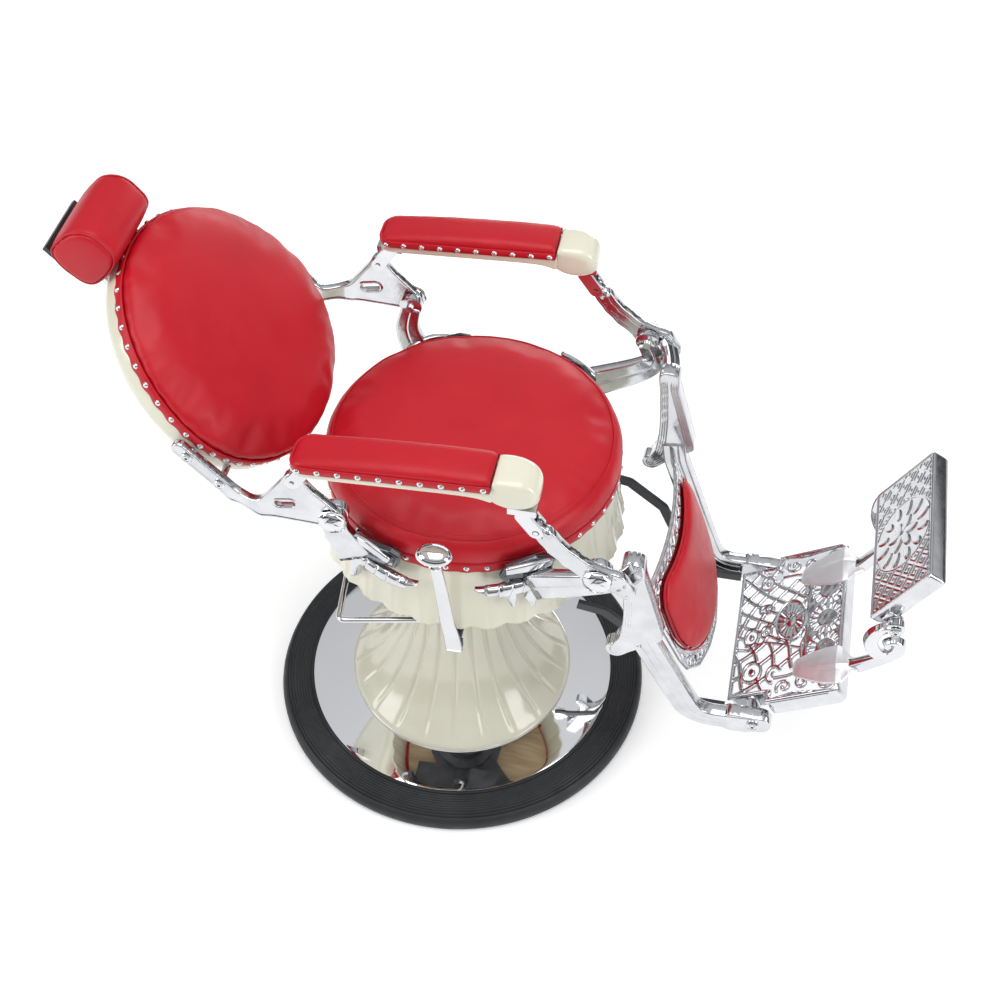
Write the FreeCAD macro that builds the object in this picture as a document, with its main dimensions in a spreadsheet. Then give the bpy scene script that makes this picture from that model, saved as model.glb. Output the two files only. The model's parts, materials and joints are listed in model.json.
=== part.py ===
import FreeCAD, Part
import math
import os
import re

import Sketcher
from FreeCAD import Placement, Rotation, Vector

# Hydraulic barber chair. Millimetres. +X points to the foot rest, +Y to the sitter's left, +Z up.
# The origin is the centre of the base, on the floor. The chair stands reclined, as it is stored here:
# every joint is at zero.

DIMENSIONS = [
    # base
    ("base_radius", 350, "outer radius of the rubber ring"),
    ("base_height", 36, "height of the rubber ring"),
    ("ring_bore", 289, "inner radius of the rubber ring"),
    ("plate_radius", 300, "steel base plate"),
    ("plate_thick", 10, "steel base plate"),
    ("cover_thick", 2, "chromed cover sheet"),
    ("cover_hole", 75, "hole in the cover round the cylinder"),
    ("bell_rim", 209, "radius of the lower bell at its rim"),
    ("bell_neck", 94, "radius of the lower bell at its neck"),
    ("bell_top", 340, "height of the lower bell's top"),
    ("bell_wall", 4, "wall of the lower bell"),
    # hydraulic lift
    ("cylinder_radius", 55, "outside of the lift cylinder"),
    ("cylinder_bore", 45, "bore of the lift cylinder"),
    ("cylinder_top", 330, "top of the lift cylinder"),
    ("flange_radius", 90, "foot flange of the cylinder"),
    ("flange_thick", 12, "foot flange of the cylinder"),
    ("bolt_circle", 75, "radius of the ring of base bolts"),
    ("bolt_radius", 5, "shank of a base bolt"),
    ("gland_thick", 20, "gland nut on the cylinder"),
    ("rod_radius", 36, "lift piston rod"),
    ("rod_foot", 135, "lower end of the piston"),
    ("rod_shoulder", 505, "shoulder that carries the thrust ring"),
    ("spigot_radius", 25, "spigot on top of the rod"),
    ("spigot_top", 560, "top of the spigot"),
    ("thrust_radius", 50, "thrust ring"),
    ("thrust_thick", 12, "thrust ring"),
    # seat
    ("seat_shift", 36, "seat centre ahead of the base centre"),
    ("hub_top", 572, "top of the swivel hub"),
    ("frame_top", 604, "top of the seat frame"),
    ("pan_bottom", 616, "underside of the seat pan"),
    ("pan_thick", 12, "plywood seat pan"),
    ("pan_radius", 226, "plywood seat pan"),
    ("nail_row_radius", 243, "circle of the seat nails"),
    ("nail_row_height", 637, "height of the seat nails"),
    ("seat_bulge", 250, "widest radius of the seat cushion"),
    ("seam_radius", 228, "top seam of the seat cushion"),
    ("seam_height", 695, "top seam of the seat cushion"),
    ("crown_height", 711, "top of the seat cushion"),
    ("skirt_bottom", 500, "lower edge of the skirt"),
    ("skirt_top", 627, "upper edge of the skirt"),
    ("skirt_neck", 238, "radius of the skirt's upper edge"),
    ("skirt_flare", 261, "radius of the skirt's lower edge"),
    ("skirt_wall", 4, "wall of the skirt"),
    ("blade_width", 58, "seat bracket blade"),
    ("blade_thick", 10, "seat bracket blade"),
    ("blade_height", 610, "middle of the blade where it leaves the frame"),
    # linkage pivots: rear lower, rear upper, front lower, front upper
    ("rear_pivot_x", -124, "back hinge on the seat bracket"),
    ("rear_pivot_z", 730, "back hinge on the seat bracket"),
    ("arm_rear_x", -179, "rear armrest pin"),
    ("arm_rear_z", 806, "rear armrest pin"),
    ("front_pivot_x", 285, "leg hinge on the seat bracket"),
    ("front_pivot_z", 704, "leg hinge on the seat bracket"),
    ("arm_front_x", 192, "front armrest pin"),
    ("arm_front_z", 796, "front armrest pin"),
    ("link_thick", 13.5, "thickness of rockers and bracket eyes"),
    ("eye_gap", 0.5, "gap between neighbouring eyes"),
    ("rear_eye_y", 239, "middle of the rear seat bracket eye"),
    ("front_eye_y", 255, "middle of the front seat bracket eye"),
    ("pivot_radius", 7, "pivot bolt"),
    ("pivot_eye", 20, "outer radius of the pivot eyes"),
    ("pin_radius", 4, "armrest pin"),
    ("running_gap", 0.06, "radial clearance of a pin in its eye"),
    ("open_gap", 1.2, "radial clearance of the open front armrest pivot"),
    ("cap_radius", 23, "faceted pivot cap"),
    ("cap_height", 15, "faceted pivot cap"),
    # back
    ("back_x", -346, "middle of the back, in the plane of its rim"),
    ("back_z", 818, "middle of the back, in the plane of its rim"),
    ("back_recline", 41, "degrees of the back from upright"),
    ("back_half_width", 223, "half width of the back's rim"),
    ("back_rise", 232, "rim above the middle of the back"),
    ("back_drop", 181, "rim below the middle of the back"),
    ("shell_depth", 50, "depth of the back shell"),
    ("shell_wall", 3, "wall of the back shell"),
    ("back_crown", 54, "crown of the back cushion"),
    # headrest
    ("head_x", -540, "middle of the headrest pillow"),
    ("head_z", 1027, "middle of the headrest pillow"),
    ("head_tilt", 41, "degrees of the headrest pillow from upright"),
    ("head_width", 162, "headrest pillow"),
    ("head_height", 94, "headrest pillow"),
    ("head_depth", 100, "headrest pillow"),
    ("post_width", 30, "headrest post"),
    ("post_thick", 8, "headrest post"),
    ("post_back", 77, "post behind the back's rim plane"),
    ("guide_wall", 5, "headrest guide"),
    ("slide_gap", 0.3, "clearance of the post in its guide"),
    # armrests
    ("arm_y", 258, "middle of the armrest"),
    ("arm_width", 66, "armrest base"),
    ("pad_width", 70, "armrest pad"),
    # leg frame
    ("leg_lean", 20.1, "degrees of the calf panel from upright"),
    ("panel_x", 346, "top of the calf panel"),
    ("panel_z", 541, "top of the calf panel"),
    ("panel_half", 172, "half width of the calf panel"),
    ("panel_bulge", 25, "bulge of the calf panel"),
    ("panel_thick", 4, "calf panel"),
    ("panel_length", 285, "calf panel"),
    ("calf_pad_thick", 18, "calf pad"),
    ("sleeve_y", 211, "middle of the grooved sleeve"),
    ("sleeve_width", 30, "grooved sleeve"),
    ("rail_height", 44, "leg rail across its run"),
    ("rail_width", 24, "leg rail sideways"),
    ("stay_height", 16, "black leg stay"),
    ("stay_width", 8, "black leg stay"),
    ("stay_y", 146, "middle of the black leg stay"),
    # foot plate
    ("foot_x", 556, "foot plate hinge"),
    ("foot_z", 256, "foot plate hinge"),
    ("foot_tilt", 31.7, "degrees of the foot plate from level"),
    ("foot_half_rear", 142, "half width of the foot plate at its rear"),
    ("foot_half_front", 163, "half width of the foot plate at its front"),
    ("foot_rise", 31, "top of the foot plate above its hinge"),
    ("foot_thick", 5, "foot plate"),
    ("foot_skirt", 36, "depth of the foot plate's side walls"),
    ("foot_pin_radius", 5, "foot plate hinge screw"),
    ("rail_y", 170, "middle of the rail at the foot plate hinge"),
    # foot board
    ("board_x", 746, "foot board hinge"),
    ("board_z", 539, "foot board hinge"),
    ("board_lean", 29, "degrees of the foot board from upright"),
    ("board_half", 134, "half width of the foot board"),
    ("board_length", 146, "foot board"),
    ("board_depth", 30, "foot board"),
    ("board_wall", 4, "foot board"),
    ("board_back", 32, "hinge in front of the board's face"),
    ("board_low", 26, "hinge above the board's lower edge"),
    ("board_pin_radius", 5, "foot board hinge bolt"),
    ("eye_y", 147, "middle of the foot arm's eye"),
    ("eye_width", 14, "foot arm's eye"),
    # pump lever and recline handle
    ("crank_x", 60, "pump crank"),
    ("crank_z", 482, "pump crank"),
    ("crank_radius", 9, "pump crank"),
    ("lever_y", -279, "foot of the lever"),
    ("handle_radius", 5, "recline handle rod"),
    ("handle_z", 470, "recline handle rod"),
]

doc = FreeCAD.newDocument("barber_chair")
dims = doc.addObject("Spreadsheet::Sheet", "dims")
for row, (alias, value, note) in enumerate(DIMENSIONS, start=1):
    dims.set(f"A{row}", note)
    dims.set(f"B{row}", str(value))
    dims.setAlias(f"B{row}", alias)
doc.recompute()

ALIAS = re.compile(r"[a-z]+(?:_[a-z]+)+")
SIDES = {"right": -1, "left": 1}
nodes = []


# ---------------------------------------------------------------- helpers

def formula(text):
    """A formula of sheet aliases, as setExpression wants it."""
    return ALIAS.sub(lambda word: "dims." + word.group(0), str(text))


def size(text):
    """The present value of a formula."""
    return float(dims.evalExpression(formula(text)))


def point(*texts):
    return Vector(*[size(text) for text in texts])


def bind(thing, path, text):
    thing.setExpression(path, formula(text))


def place(thing, x=0, y=0, z=0, turn=None):
    """Puts a piece at a place that the sheet holds."""
    thing.Placement = Placement(point(x, y, z), turn or Rotation())
    for axis, text in zip("xyz", (x, y, z)):
        bind(thing, "Placement.Base." + axis, text)


def node(thing, label):
    thing.Label = label
    nodes.append(thing)
    return thing


def new_body(label):
    return node(doc.addObject("PartDesign::Body", label), label)


def new_sketch(body, role, offset=None):
    sketch = body.newObject("Sketcher::SketchObject", body.Name + "_sketch")
    plane = next(item for item in body.Origin.OriginFeatures if item.Role == role)
    sketch.AttachmentSupport = [(plane, "")]
    sketch.MapMode = "FlatFace"
    if offset is not None:
        bind(sketch, "AttachmentOffset.Base.z", offset)
    return sketch


def name_and_bind(sketch, index, text):
    sketch.renameConstraint(index, f"size_{index}")
    bind(sketch, f"Constraints.size_{index}", text)


def pin_point(sketch, geometry, end, x, y):
    """Ties a point of a sketch to two formulas."""
    for kind, axis, text in (("DistanceX", -2, x), ("DistanceY", -1, y)):
        value = size(text)
        if abs(value) < 1e-6:
            sketch.addConstraint(Sketcher.Constraint("PointOnObject", geometry, end, axis))
            continue
        ends = (-1, 1, geometry, end) if value > 0 else (geometry, end, -1, 1)
        index = sketch.addConstraint(Sketcher.Constraint(kind, *ends, abs(value)))
        name_and_bind(sketch, index, text if value > 0 else f"-({text})")


def add_outline(sketch, points):
    """A closed polygon whose corners are tied to the sheet."""
    first = sketch.GeometryCount
    count = len(points)
    corners = [point(x, y, 0) for x, y in points]
    for index in range(count):
        sketch.addGeometry(Part.LineSegment(corners[index], corners[(index + 1) % count]), False)
    for index in range(count):
        follow = first + (index + 1) % count
        sketch.addConstraint(Sketcher.Constraint("Coincident", first + index, 2, follow, 1))
        pin_point(sketch, first + index, 1, *points[index])


def add_circle(sketch, x, y, radius):
    index = sketch.addGeometry(Part.Circle(point(x, y, 0), Vector(0, 0, 1), size(radius)), False)
    pin_point(sketch, index, 3, x, y)
    number = sketch.addConstraint(Sketcher.Constraint("Radius", index, size(radius)))
    name_and_bind(sketch, number, radius)


def add_stadium(sketch, start, stop, start_radius, stop_radius):
    """Two round ends joined by their outer tangents."""
    p, q = point(*start, 0), point(*stop, 0)
    rp, rq = size(start_radius), size(stop_radius)
    along = math.atan2(q.y - p.y, q.x - p.x)
    spread = math.acos((rp - rq) / p.distanceToPoint(q))
    ray = [Vector(math.cos(along + side * spread), math.sin(along + side * spread), 0) for side in (1, -1)]
    up = Vector(0, 0, 1)
    far_cap = Part.ArcOfCircle(Part.Circle(q, up, rq), along - spread, along + spread)
    near_cap = Part.ArcOfCircle(Part.Circle(p, up, rp), along + spread, along - spread + 2 * math.pi)
    first = sketch.GeometryCount
    sketch.addGeometry(far_cap, False)
    sketch.addGeometry(Part.LineSegment(q + ray[0] * rq, p + ray[0] * rp), False)
    sketch.addGeometry(near_cap, False)
    sketch.addGeometry(Part.LineSegment(p + ray[1] * rp, q + ray[1] * rq), False)
    for index in range(4):
        follow = first + (index + 1) % 4
        sketch.addConstraint(Sketcher.Constraint("Tangent", first + index, 2, follow, 1))
    for index, centre, radius in ((first, stop, stop_radius), (first + 2, start, start_radius)):
        pin_point(sketch, index, 3, *centre)
        number = sketch.addConstraint(Sketcher.Constraint("Radius", index, size(radius)))
        name_and_bind(sketch, number, radius)


def add_curves(sketch, runs):
    """A closed outline of runs: two points make a line, more make a smooth curve."""
    for run in runs:
        points = [point(x, y, 0) for x, y in run]
        if len(points) == 2:
            sketch.addGeometry(Part.LineSegment(*points), False)
        else:
            curve = Part.BSplineCurve()
            curve.interpolate(points)
            sketch.addGeometry(curve, False)


def add_egg(sketch, half_width, rise, drop):
    """Half an ellipse above the middle and half another one below it."""
    width, top, low = size(half_width), size(rise), size(drop)
    for height, side in ((top, 1), (low, -1)):
        tall, wide = Vector(0, side * height, 0), Vector(-side * width, 0, 0)
        if height > width:
            arc = Part.ArcOfEllipse(Part.Ellipse(tall, wide, Vector()), -math.pi / 2, math.pi / 2)
        else:
            arc = Part.ArcOfEllipse(Part.Ellipse(-wide, tall, Vector()), 0, math.pi)
        sketch.addGeometry(arc, False)


def add_pad(body, sketch, length, both_ways=True):
    pad = body.newObject("PartDesign::Pad", body.Name + "_pad")
    pad.Profile = sketch
    if both_ways:
        pad.SideType = "Symmetric"
    bind(pad, "Length", length)
    return pad


def add_pocket(body, sketch, length):
    """Cuts the sketch out of the body, both ways from the sketch."""
    pocket = body.newObject("PartDesign::Pocket", body.Name + "_pocket")
    pocket.Profile = sketch
    pocket.SideType = "Symmetric"
    bind(pocket, "Length", length)
    return pocket


def add_loft(body, kind, sections):
    loft = body.newObject("PartDesign::" + kind, body.Name + "_loft")
    loft.Profile = sections[0]
    loft.Sections = sections[1:]
    loft.Ruled = True
    return loft


def round_edges(body, radius, chosen):
    """Rounds the edges of a body that the test picks by their middle point."""
    doc.recompute()
    tip = body.Tip
    names = []
    for index, edge in enumerate(tip.Shape.Edges, start=1):
        middle = edge.valueAt((edge.FirstParameter + edge.LastParameter) / 2)
        if chosen(middle, edge):
            names.append(f"Edge{index}")
    fillet = body.newObject("PartDesign::Fillet", body.Name + "_fillet")
    fillet.Base = (tip, names)
    bind(fillet, "Radius", radius)


def turned(label, profile, x=0, curved=False):
    """A turned piece: its profile lies in XZ and turns round Z."""
    body = new_body(label)
    sketch = new_sketch(body, "XZ_Plane")
    if curved:
        add_curves(sketch, profile)
    else:
        add_outline(sketch, profile)
    turn = body.newObject("PartDesign::Revolution", label + "_turn")
    turn.Profile = sketch
    turn.ReferenceAxis = (sketch, ["V_Axis"])
    turn.Angle = 360
    place(body, x)
    return body


def side_plate(label, runs, y, thick, holes=()):
    """A plate in XZ, made of round-ended runs, with round holes through it."""
    body = new_body(label)
    for run in runs:
        sketch = new_sketch(body, "XZ_Plane")
        add_stadium(sketch, *run)
        add_pad(body, sketch, thick)
    for x, z, radius in holes:
        sketch = new_sketch(body, "XZ_Plane")
        add_circle(sketch, x, z, radius)
        add_pocket(body, sketch, f"4 * ({thick})")
    place(body, 0, y, 0)
    return body


def cylinder(label, radius, height, x, y, z, turn=None):
    thing = doc.addObject("Part::Cylinder", label)
    bind(thing, "Radius", radius)
    bind(thing, "Height", height)
    place(thing, x, y, z, turn)
    return thing


def box(label, length, width, height, x, y, z, turn=None):
    thing = doc.addObject("Part::Box", label)
    for path, text in (("Length", length), ("Width", width), ("Height", height)):
        bind(thing, path, text)
    place(thing, x, y, z, turn)
    return thing


def fused(label, things):
    fusion = doc.addObject("Part::MultiFuse", label)
    fusion.Shapes = things
    fusion.Refine = True
    return fusion


def cut(label, base, tool):
    result = doc.addObject("Part::Cut", label)
    result.Base = base
    result.Tool = tool
    return result


def group(label, things):
    """Several separate solids that make one node."""
    compound = doc.addObject("Part::Compound", label)
    compound.Links = things
    return node(compound, label)


ALONG_X = Rotation(Vector(0, 1, 0), 90)
ALONG_Y = Rotation(Vector(1, 0, 0), -90)


def frame_turn(lean):
    """Local X is +Y, local Y leans back from upright, local Z faces forward."""
    angle = math.radians(lean)
    up = Vector(-math.sin(angle), 0, math.cos(angle))
    front = Vector(math.cos(angle), 0, math.sin(angle))
    return Rotation(Vector(0, 1, 0), up, front, "XYZ")


def bent_path(points, radius):
    """Straight runs joined by tangent arcs."""
    edges = []
    start = points[0]
    for before, corner, after in zip(points, points[1:], points[2:]):
        back = (before - corner).normalize()
        ahead = (after - corner).normalize()
        half_turn = (math.pi - back.getAngle(ahead)) / 2
        reach = radius * math.tan(half_turn)
        enter, leave = corner + back * reach, corner + ahead * reach
        bisector = (back + ahead).normalize()
        middle = corner + bisector * (radius / math.cos(half_turn) - radius)
        edges.append(Part.LineSegment(start, enter).toShape())
        edges.append(Part.Arc(enter, middle, leave).toShape())
        start = leave
    edges.append(Part.LineSegment(start, points[-1]).toShape())
    return Part.Wire(edges)


def swept(label, points, radius, section, across=Vector(0, 1, 0)):
    """A bar along a bent path. A section of one size is round, of two sizes flat: its first side
    lies along across, as nearly as it can."""
    route = [point(*text) for text in points]
    path = doc.addObject("Part::Feature", label + "_path")
    path.Shape = bent_path(route, radius)
    ahead = (route[1] - route[0]).normalize()
    side = (across - ahead * across.dot(ahead)).normalize()
    turn = Rotation(side, ahead.cross(side), ahead, "XYZ")
    if len(section) == 1:
        profile = doc.addObject("Part::Circle", label + "_profile")
        bind(profile, "Radius", section[0])
        profile.Placement = Placement(route[0], turn)
    else:
        profile = doc.addObject("Part::Plane", label + "_profile")
        bind(profile, "Length", section[0])
        bind(profile, "Width", section[1])
        half = turn.multVec(Vector(size(section[0]) / 2, size(section[1]) / 2, 0))
        profile.Placement = Placement(route[0] - half, turn)
    doc.recompute()
    bar = doc.addObject("Part::Sweep", label + "_bar")
    bar.Sections = [profile]
    bar.Spine = (path, [f"Edge{index + 1}" for index in range(len(path.Shape.Edges))])
    bar.Solid = True
    bar.Frenet = False
    bar.Transition = "Right corner"
    return bar


def nail_group(label, spots):
    """Domed upholstery nails. A spot is a place on the skin and the way out of it."""
    dome_radius, dome_height = 7.0, 3.2
    low_angle = math.degrees(math.asin((dome_radius - dome_height) / dome_radius))
    domes = []
    for place_on_skin, outward in spots:
        centre = place_on_skin - outward * (dome_radius - dome_height)
        domes.append(Part.makeSphere(dome_radius, centre, outward, low_angle, 90, 360))
    nails = doc.addObject("Part::Feature", label)
    nails.Shape = Part.makeCompound(domes)
    return node(nails, label)


# ---------------------------------------------------------------- base and hydraulic lift

def make_base():
    turned("base_plate", [(0, 0), ("plate_radius", 0), ("plate_radius", "plate_thick"), (0, "plate_thick")])
    ring = turned("base_ring", [
        ("plate_radius", 0), ("base_radius - 9", 0), ("base_radius", 10), ("base_radius", 21),
        ("base_radius - 7", 29), ("base_radius - 20", "base_height - 2"),
        ("base_radius - 34", "base_height"),
        ("ring_bore", "base_height"), ("ring_bore", "plate_thick"), ("plate_radius", "plate_thick")])
    for inset in (22, 33, 44):
        sketch = new_sketch(ring, "XZ_Plane")
        add_outline(sketch, [(f"base_radius - {inset}", "base_height - 3.5"),
                             (f"base_radius - {inset} + 1.6", "base_height + 2"),
                             (f"base_radius - {inset} - 1.6", "base_height + 2")])
        groove = ring.newObject("PartDesign::Groove", "base_ring_groove")
        groove.Profile = sketch
        groove.ReferenceAxis = (sketch, ["V_Axis"])
        groove.Angle = 360
    edge = "ring_bore - 0.2"
    turned("base_cover", [
        (edge, "plate_thick"), (edge, 35), (f"{edge} - 8", 39), (240, 44.5), (200, 49), (130, 55),
        ("cover_hole", 60), ("cover_hole", "60 - cover_thick"), (130, "55 - cover_thick"),
        (200, "49 - cover_thick"), (240, "44.5 - cover_thick"), (f"{edge} - 9", "39 - cover_thick"),
        (f"{edge} - cover_thick", "35 - cover_thick"), (f"{edge} - cover_thick", "plate_thick")])
    outer = [("bell_rim", 60), (196, 72), (172, 94), (148, 125), (125, 165), (106, 215), (96, 272),
             ("bell_neck", "bell_top")]
    inner = [("bell_neck - bell_wall", "bell_top"), (92, 270), (102, 212), (121, 160), (144, 120),
             (168, 89), (190, 68), ("bell_rim - bell_wall", 54)]
    turned("lower_bell", [
        [("bell_rim - bell_wall", 48.7), ("bell_rim", 48.4)], [("bell_rim", 48.4), ("bell_rim", 60)], outer,
        [outer[-1], inner[0]], inner, [inner[-1], ("bell_rim - bell_wall", 48.7)]], curved=True)


def make_lift():
    tube = turned("hydraulic_cylinder", [
        ("cylinder_bore", "plate_thick"), ("flange_radius", "plate_thick"),
        ("flange_radius", "plate_thick + flange_thick"), ("cylinder_radius", "plate_thick + flange_thick"),
        ("cylinder_radius", "cylinder_top"), ("cylinder_bore", "cylinder_top")])
    sketch = new_sketch(tube, "XY_Plane", "plate_thick")
    add_circle(sketch, "bolt_circle", 0, "bolt_radius + 0.5")
    hole = add_pocket(tube, sketch, "4 * flange_thick")
    doc.recompute()
    ring = tube.newObject("PartDesign::PolarPattern", "flange_holes")
    ring.Originals = [hole]
    ring.Axis = (sketch, ["N_Axis"])
    ring.Angle = 360
    ring.Occurrences = 6
    tube.Tip = ring

    bolts = []
    for index in range(6):
        angle = math.radians(60 * index)
        x, y = f"bolt_circle * {math.cos(angle):.6f}", f"bolt_circle * {math.sin(angle):.6f}"
        shank = cylinder("base_bolt_shank", "bolt_radius", "flange_thick + 0.5", x, y, "plate_thick")
        head = doc.addObject("Part::Prism", "base_bolt_head")
        head.Polygon = 6
        bind(head, "Circumradius", "bolt_radius * 1.8")
        bind(head, "Height", "bolt_radius * 1.4")
        place(head, x, y, "plate_thick + flange_thick")
        bolts.append(fused("base_bolt", [shank, head]))
    group("base_bolts", bolts)

    low, high = "cylinder_top", "cylinder_top + gland_thick"
    turned("cylinder_gland", [
        ("rod_radius + running_gap", low), ("cylinder_radius", low), ("cylinder_radius", f"{high} - 4"),
        ("cylinder_radius - 4", high), ("rod_radius + running_gap", high)])
    turned("piston_rod", [
        (0, "rod_foot"), ("cylinder_bore - running_gap", "rod_foot"),
        ("cylinder_bore - running_gap", "rod_foot + 30"), ("rod_radius", "rod_foot + 30"),
        ("rod_radius", "rod_shoulder"), ("spigot_radius", "rod_shoulder"),
        ("spigot_radius", "spigot_top - 3"), ("spigot_radius - 3", "spigot_top"), (0, "spigot_top")])
    turned("thrust_ring", [
        ("spigot_radius", "rod_shoulder"), ("thrust_radius", "rod_shoulder"),
        ("thrust_radius", "rod_shoulder + thrust_thick"), ("spigot_radius", "rod_shoulder + thrust_thick")])
    roof = "rod_shoulder + thrust_thick + 0.3"
    turned("swivel_hub", [
        ("thrust_radius + 0.5", 482), ("thrust_radius + 12", 482), ("thrust_radius + 12", 545),
        ("thrust_radius + 35", 560), ("thrust_radius + 35", "hub_top"),
        ("spigot_radius + running_gap", "hub_top"),
        ("spigot_radius + running_gap", roof), ("thrust_radius + 0.5", roof)])


# ---------------------------------------------------------------- seat

def bracket_points(end, side):
    """The bend and the eye of a seat bracket's blade: where it leaves the frame, where it has
    passed the skirt, and its pivot."""
    pivot = (f"{end}_pivot_x", f"{side} * {end}_eye_y", f"{end}_pivot_z")
    reach = point(f"{end}_pivot_x - seat_shift", f"{side} * {end}_eye_y", 0)
    reach.normalize()
    inner = (f"seat_shift + {120 * reach.x:.4f}", f"{120 * reach.y:.4f}", "blade_height")
    outer = (f"seat_shift + {262 * reach.x:.4f}", f"{262 * reach.y:.4f}", "blade_height")
    return inner, outer, pivot


def make_seat():
    arms = []
    for end in ("rear", "front"):
        for side in SIDES.values():
            inner, outer, _ = bracket_points(end, side)
            reach = point(*outer) - point(*inner)
            heading = math.degrees(math.atan2(reach.y, reach.x))
            turn = Rotation(Vector(0, 0, 1), heading)
            start = turn.multVec(Vector(0, -25, 0))
            arms.append(box("frame_arm", 205, 50, "frame_top - hub_top", f"seat_shift + {start.x:.4f}",
                            f"{start.y:.4f}", "hub_top", turn))
    disc = cylinder("frame_disc", 110, "frame_top - hub_top", 0, 0, "hub_top")
    lugs = [box("handle_lug", 12, 16, "hub_top - handle_z + 9", x, -160, "handle_z - 9") for x in (-136, 2)]
    shelf = box("frame_shelf", 256, 80, "frame_top - hub_top", -136, -160, "hub_top")
    axle_hole = cylinder("handle_bore", "handle_radius + running_gap", 200, -150, -152, "handle_z", ALONG_X)
    node(cut("frame_bored", fused("frame_fused", [disc, shelf] + arms + lugs), axle_hole), "seat_frame")
    block = box("pump_block", 80, 80, "hub_top - 452", 40, -190, 452)
    bore = cylinder("pump_bore", "crank_radius + running_gap", 60, "crank_x", -200, "crank_z", ALONG_Y)
    node(cut("pump_head_bored", block, bore), "pump_head")

    turned("seat_pan", [
        (0, "pan_bottom"), ("pan_radius", "pan_bottom"), ("pan_radius", "pan_bottom + pan_thick"),
        (0, "pan_bottom + pan_thick")], "seat_shift")
    low = "pan_bottom + pan_thick + 0.2"
    band = "nail_row_radius - 0.4"
    side = [(band, "nail_row_height + 8"), ("seat_bulge", "nail_row_height + 24"),
            ("seat_bulge - 1", "nail_row_height + 38"), ("seat_bulge - 9", "nail_row_height + 51"),
            ("seam_radius", "seam_height")]
    top = [("seam_radius", "seam_height"), ("seam_radius - 28", "seam_height + 5.5"),
           ("seam_radius - 90", "crown_height - 5"), (60, "crown_height - 0.6"), (0, "crown_height")]
    turned("seat_cushion", [
        [(0, low), (band, low)], [(band, low), (band, "nail_row_height + 8")], side, top,
        [(0, "crown_height"), (0, low)]], "seat_shift", curved=True)

    count = 47
    spots = []
    for index in range(count):
        angle = 2 * math.pi * (index + 0.5) / count
        outward = Vector(math.cos(angle), math.sin(angle), 0)
        middle = point("seat_shift", 0, "nail_row_height")
        spots.append((middle + outward * size("nail_row_radius"), outward))
    nail_group("seat_nails", spots)

    wall = "skirt_wall"
    outer = [("skirt_neck", "skirt_top"), ("skirt_neck + 1.5", 590), ("skirt_neck + 9", 545),
             ("skirt_flare", "skirt_bottom")]
    inner = [(f"skirt_flare - {wall}", "skirt_bottom"), (f"skirt_neck + 9 - {wall}", 545),
             (f"skirt_neck + 1.5 - {wall}", 590), (f"skirt_neck - {wall}", "skirt_top")]
    skirt = turned("upper_skirt", [outer, [outer[-1], inner[0]], inner, [inner[-1], outer[0]]],
                   "seat_shift - 3", curved=True)
    for end in ("rear", "front"):
        for side in SIDES.values():
            _, outer, _ = bracket_points(end, side)
            spot = point(*outer) - point("seat_shift - 3", 0, 0)
            sketch = new_sketch(skirt, "XZ_Plane")
            sketch.AttachmentOffset = Placement(
                Vector(), Rotation(Vector(0, 1, 0), math.degrees(math.atan2(spot.y, spot.x)) + 90))
            half = "blade_width / 2 + 3"
            floor = "blade_height - blade_thick / 2 - 3"
            add_outline(sketch, [(f"-({half})", floor), (half, floor), (half, 640), (f"-({half})", 640)])
            notch = skirt.newObject("PartDesign::Pocket", "skirt_notch")
            notch.Profile = sketch
            notch.Reversed = True
            bind(notch, "Length", "skirt_flare + 20")


def make_seat_brackets():
    for end in ("rear", "front"):
        for name, side in SIDES.items():
            inner, outer, pivot = bracket_points(end, side)
            label = f"{end}_bracket_{name}"
            stem = (pivot[0], pivot[1], f"{pivot[2]} - 8")
            blade = swept(label, [inner, outer, stem], 24, ("blade_width", "blade_thick"),
                          Vector(-point(*inner).y, point(*inner).x - size("seat_shift"), 0))
            eye = cylinder(label + "_eye", "pivot_eye", "link_thick", pivot[0],
                           f"{pivot[1]} - link_thick / 2", pivot[2], ALONG_Y)
            bore = cylinder(
                label + "_bore", "pivot_radius", 90, pivot[0], f"{pivot[1]} - 45", pivot[2], ALONG_Y)
            nut_y = f"{pivot[1]} - link_thick / 2 - 60" if side > 0 else f"{pivot[1]} + link_thick / 2"
            nut_room = cylinder(
                label + "_nut_room", "pivot_radius + 5", 60, pivot[0], nut_y, pivot[2], ALONG_Y)
            # The blade keeps clear of the rocker that turns against the eye's outer side.
            room_y = f"{end}_eye_y + link_thick / 2" if side > 0 else f"-{end}_eye_y - link_thick / 2 - 60"
            room = box(label + "_room", 120, 60, 120, f"{pivot[0]} - 60", room_y, f"{pivot[2]} - 60")
            whole = cut(label + "_cut", fused(label + "_fused", [blade, eye]), room)
            node(cut(label + "_bored", whole, fused(label + "_holes", [bore, nut_room])), label)
    bolts = []
    for end in ("rear", "front"):
        for side in SIDES.values():
            span = "2 * link_thick + eye_gap + 0.5"
            face = f"{end}_eye_y - link_thick / 2"
            shank_y = face if side > 0 else f"-({face}) - ({span})"
            x, z = f"{end}_pivot_x", f"{end}_pivot_z"
            shank = cylinder("pivot_shank", "pivot_radius", span, x, shank_y, z, ALONG_Y)
            cap = doc.addObject("Part::Prism", "pivot_cap")
            cap.Polygon = 8
            bind(cap, "Circumradius", "cap_radius")
            bind(cap, "Height", "cap_height")
            cap_y = f"{face} + {span}" if side > 0 else f"{shank_y} - cap_height"
            place(cap, x, cap_y, z, ALONG_Y)
            nut_y = f"{face} - 7" if side > 0 else f"-({face})"
            nut = cylinder("pivot_nut", "pivot_radius + 4", 7, x, nut_y, z, ALONG_Y)
            bolts.append(fused("pivot_bolt", [shank, cap, nut]))
    group("pivot_bolts", bolts)


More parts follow.
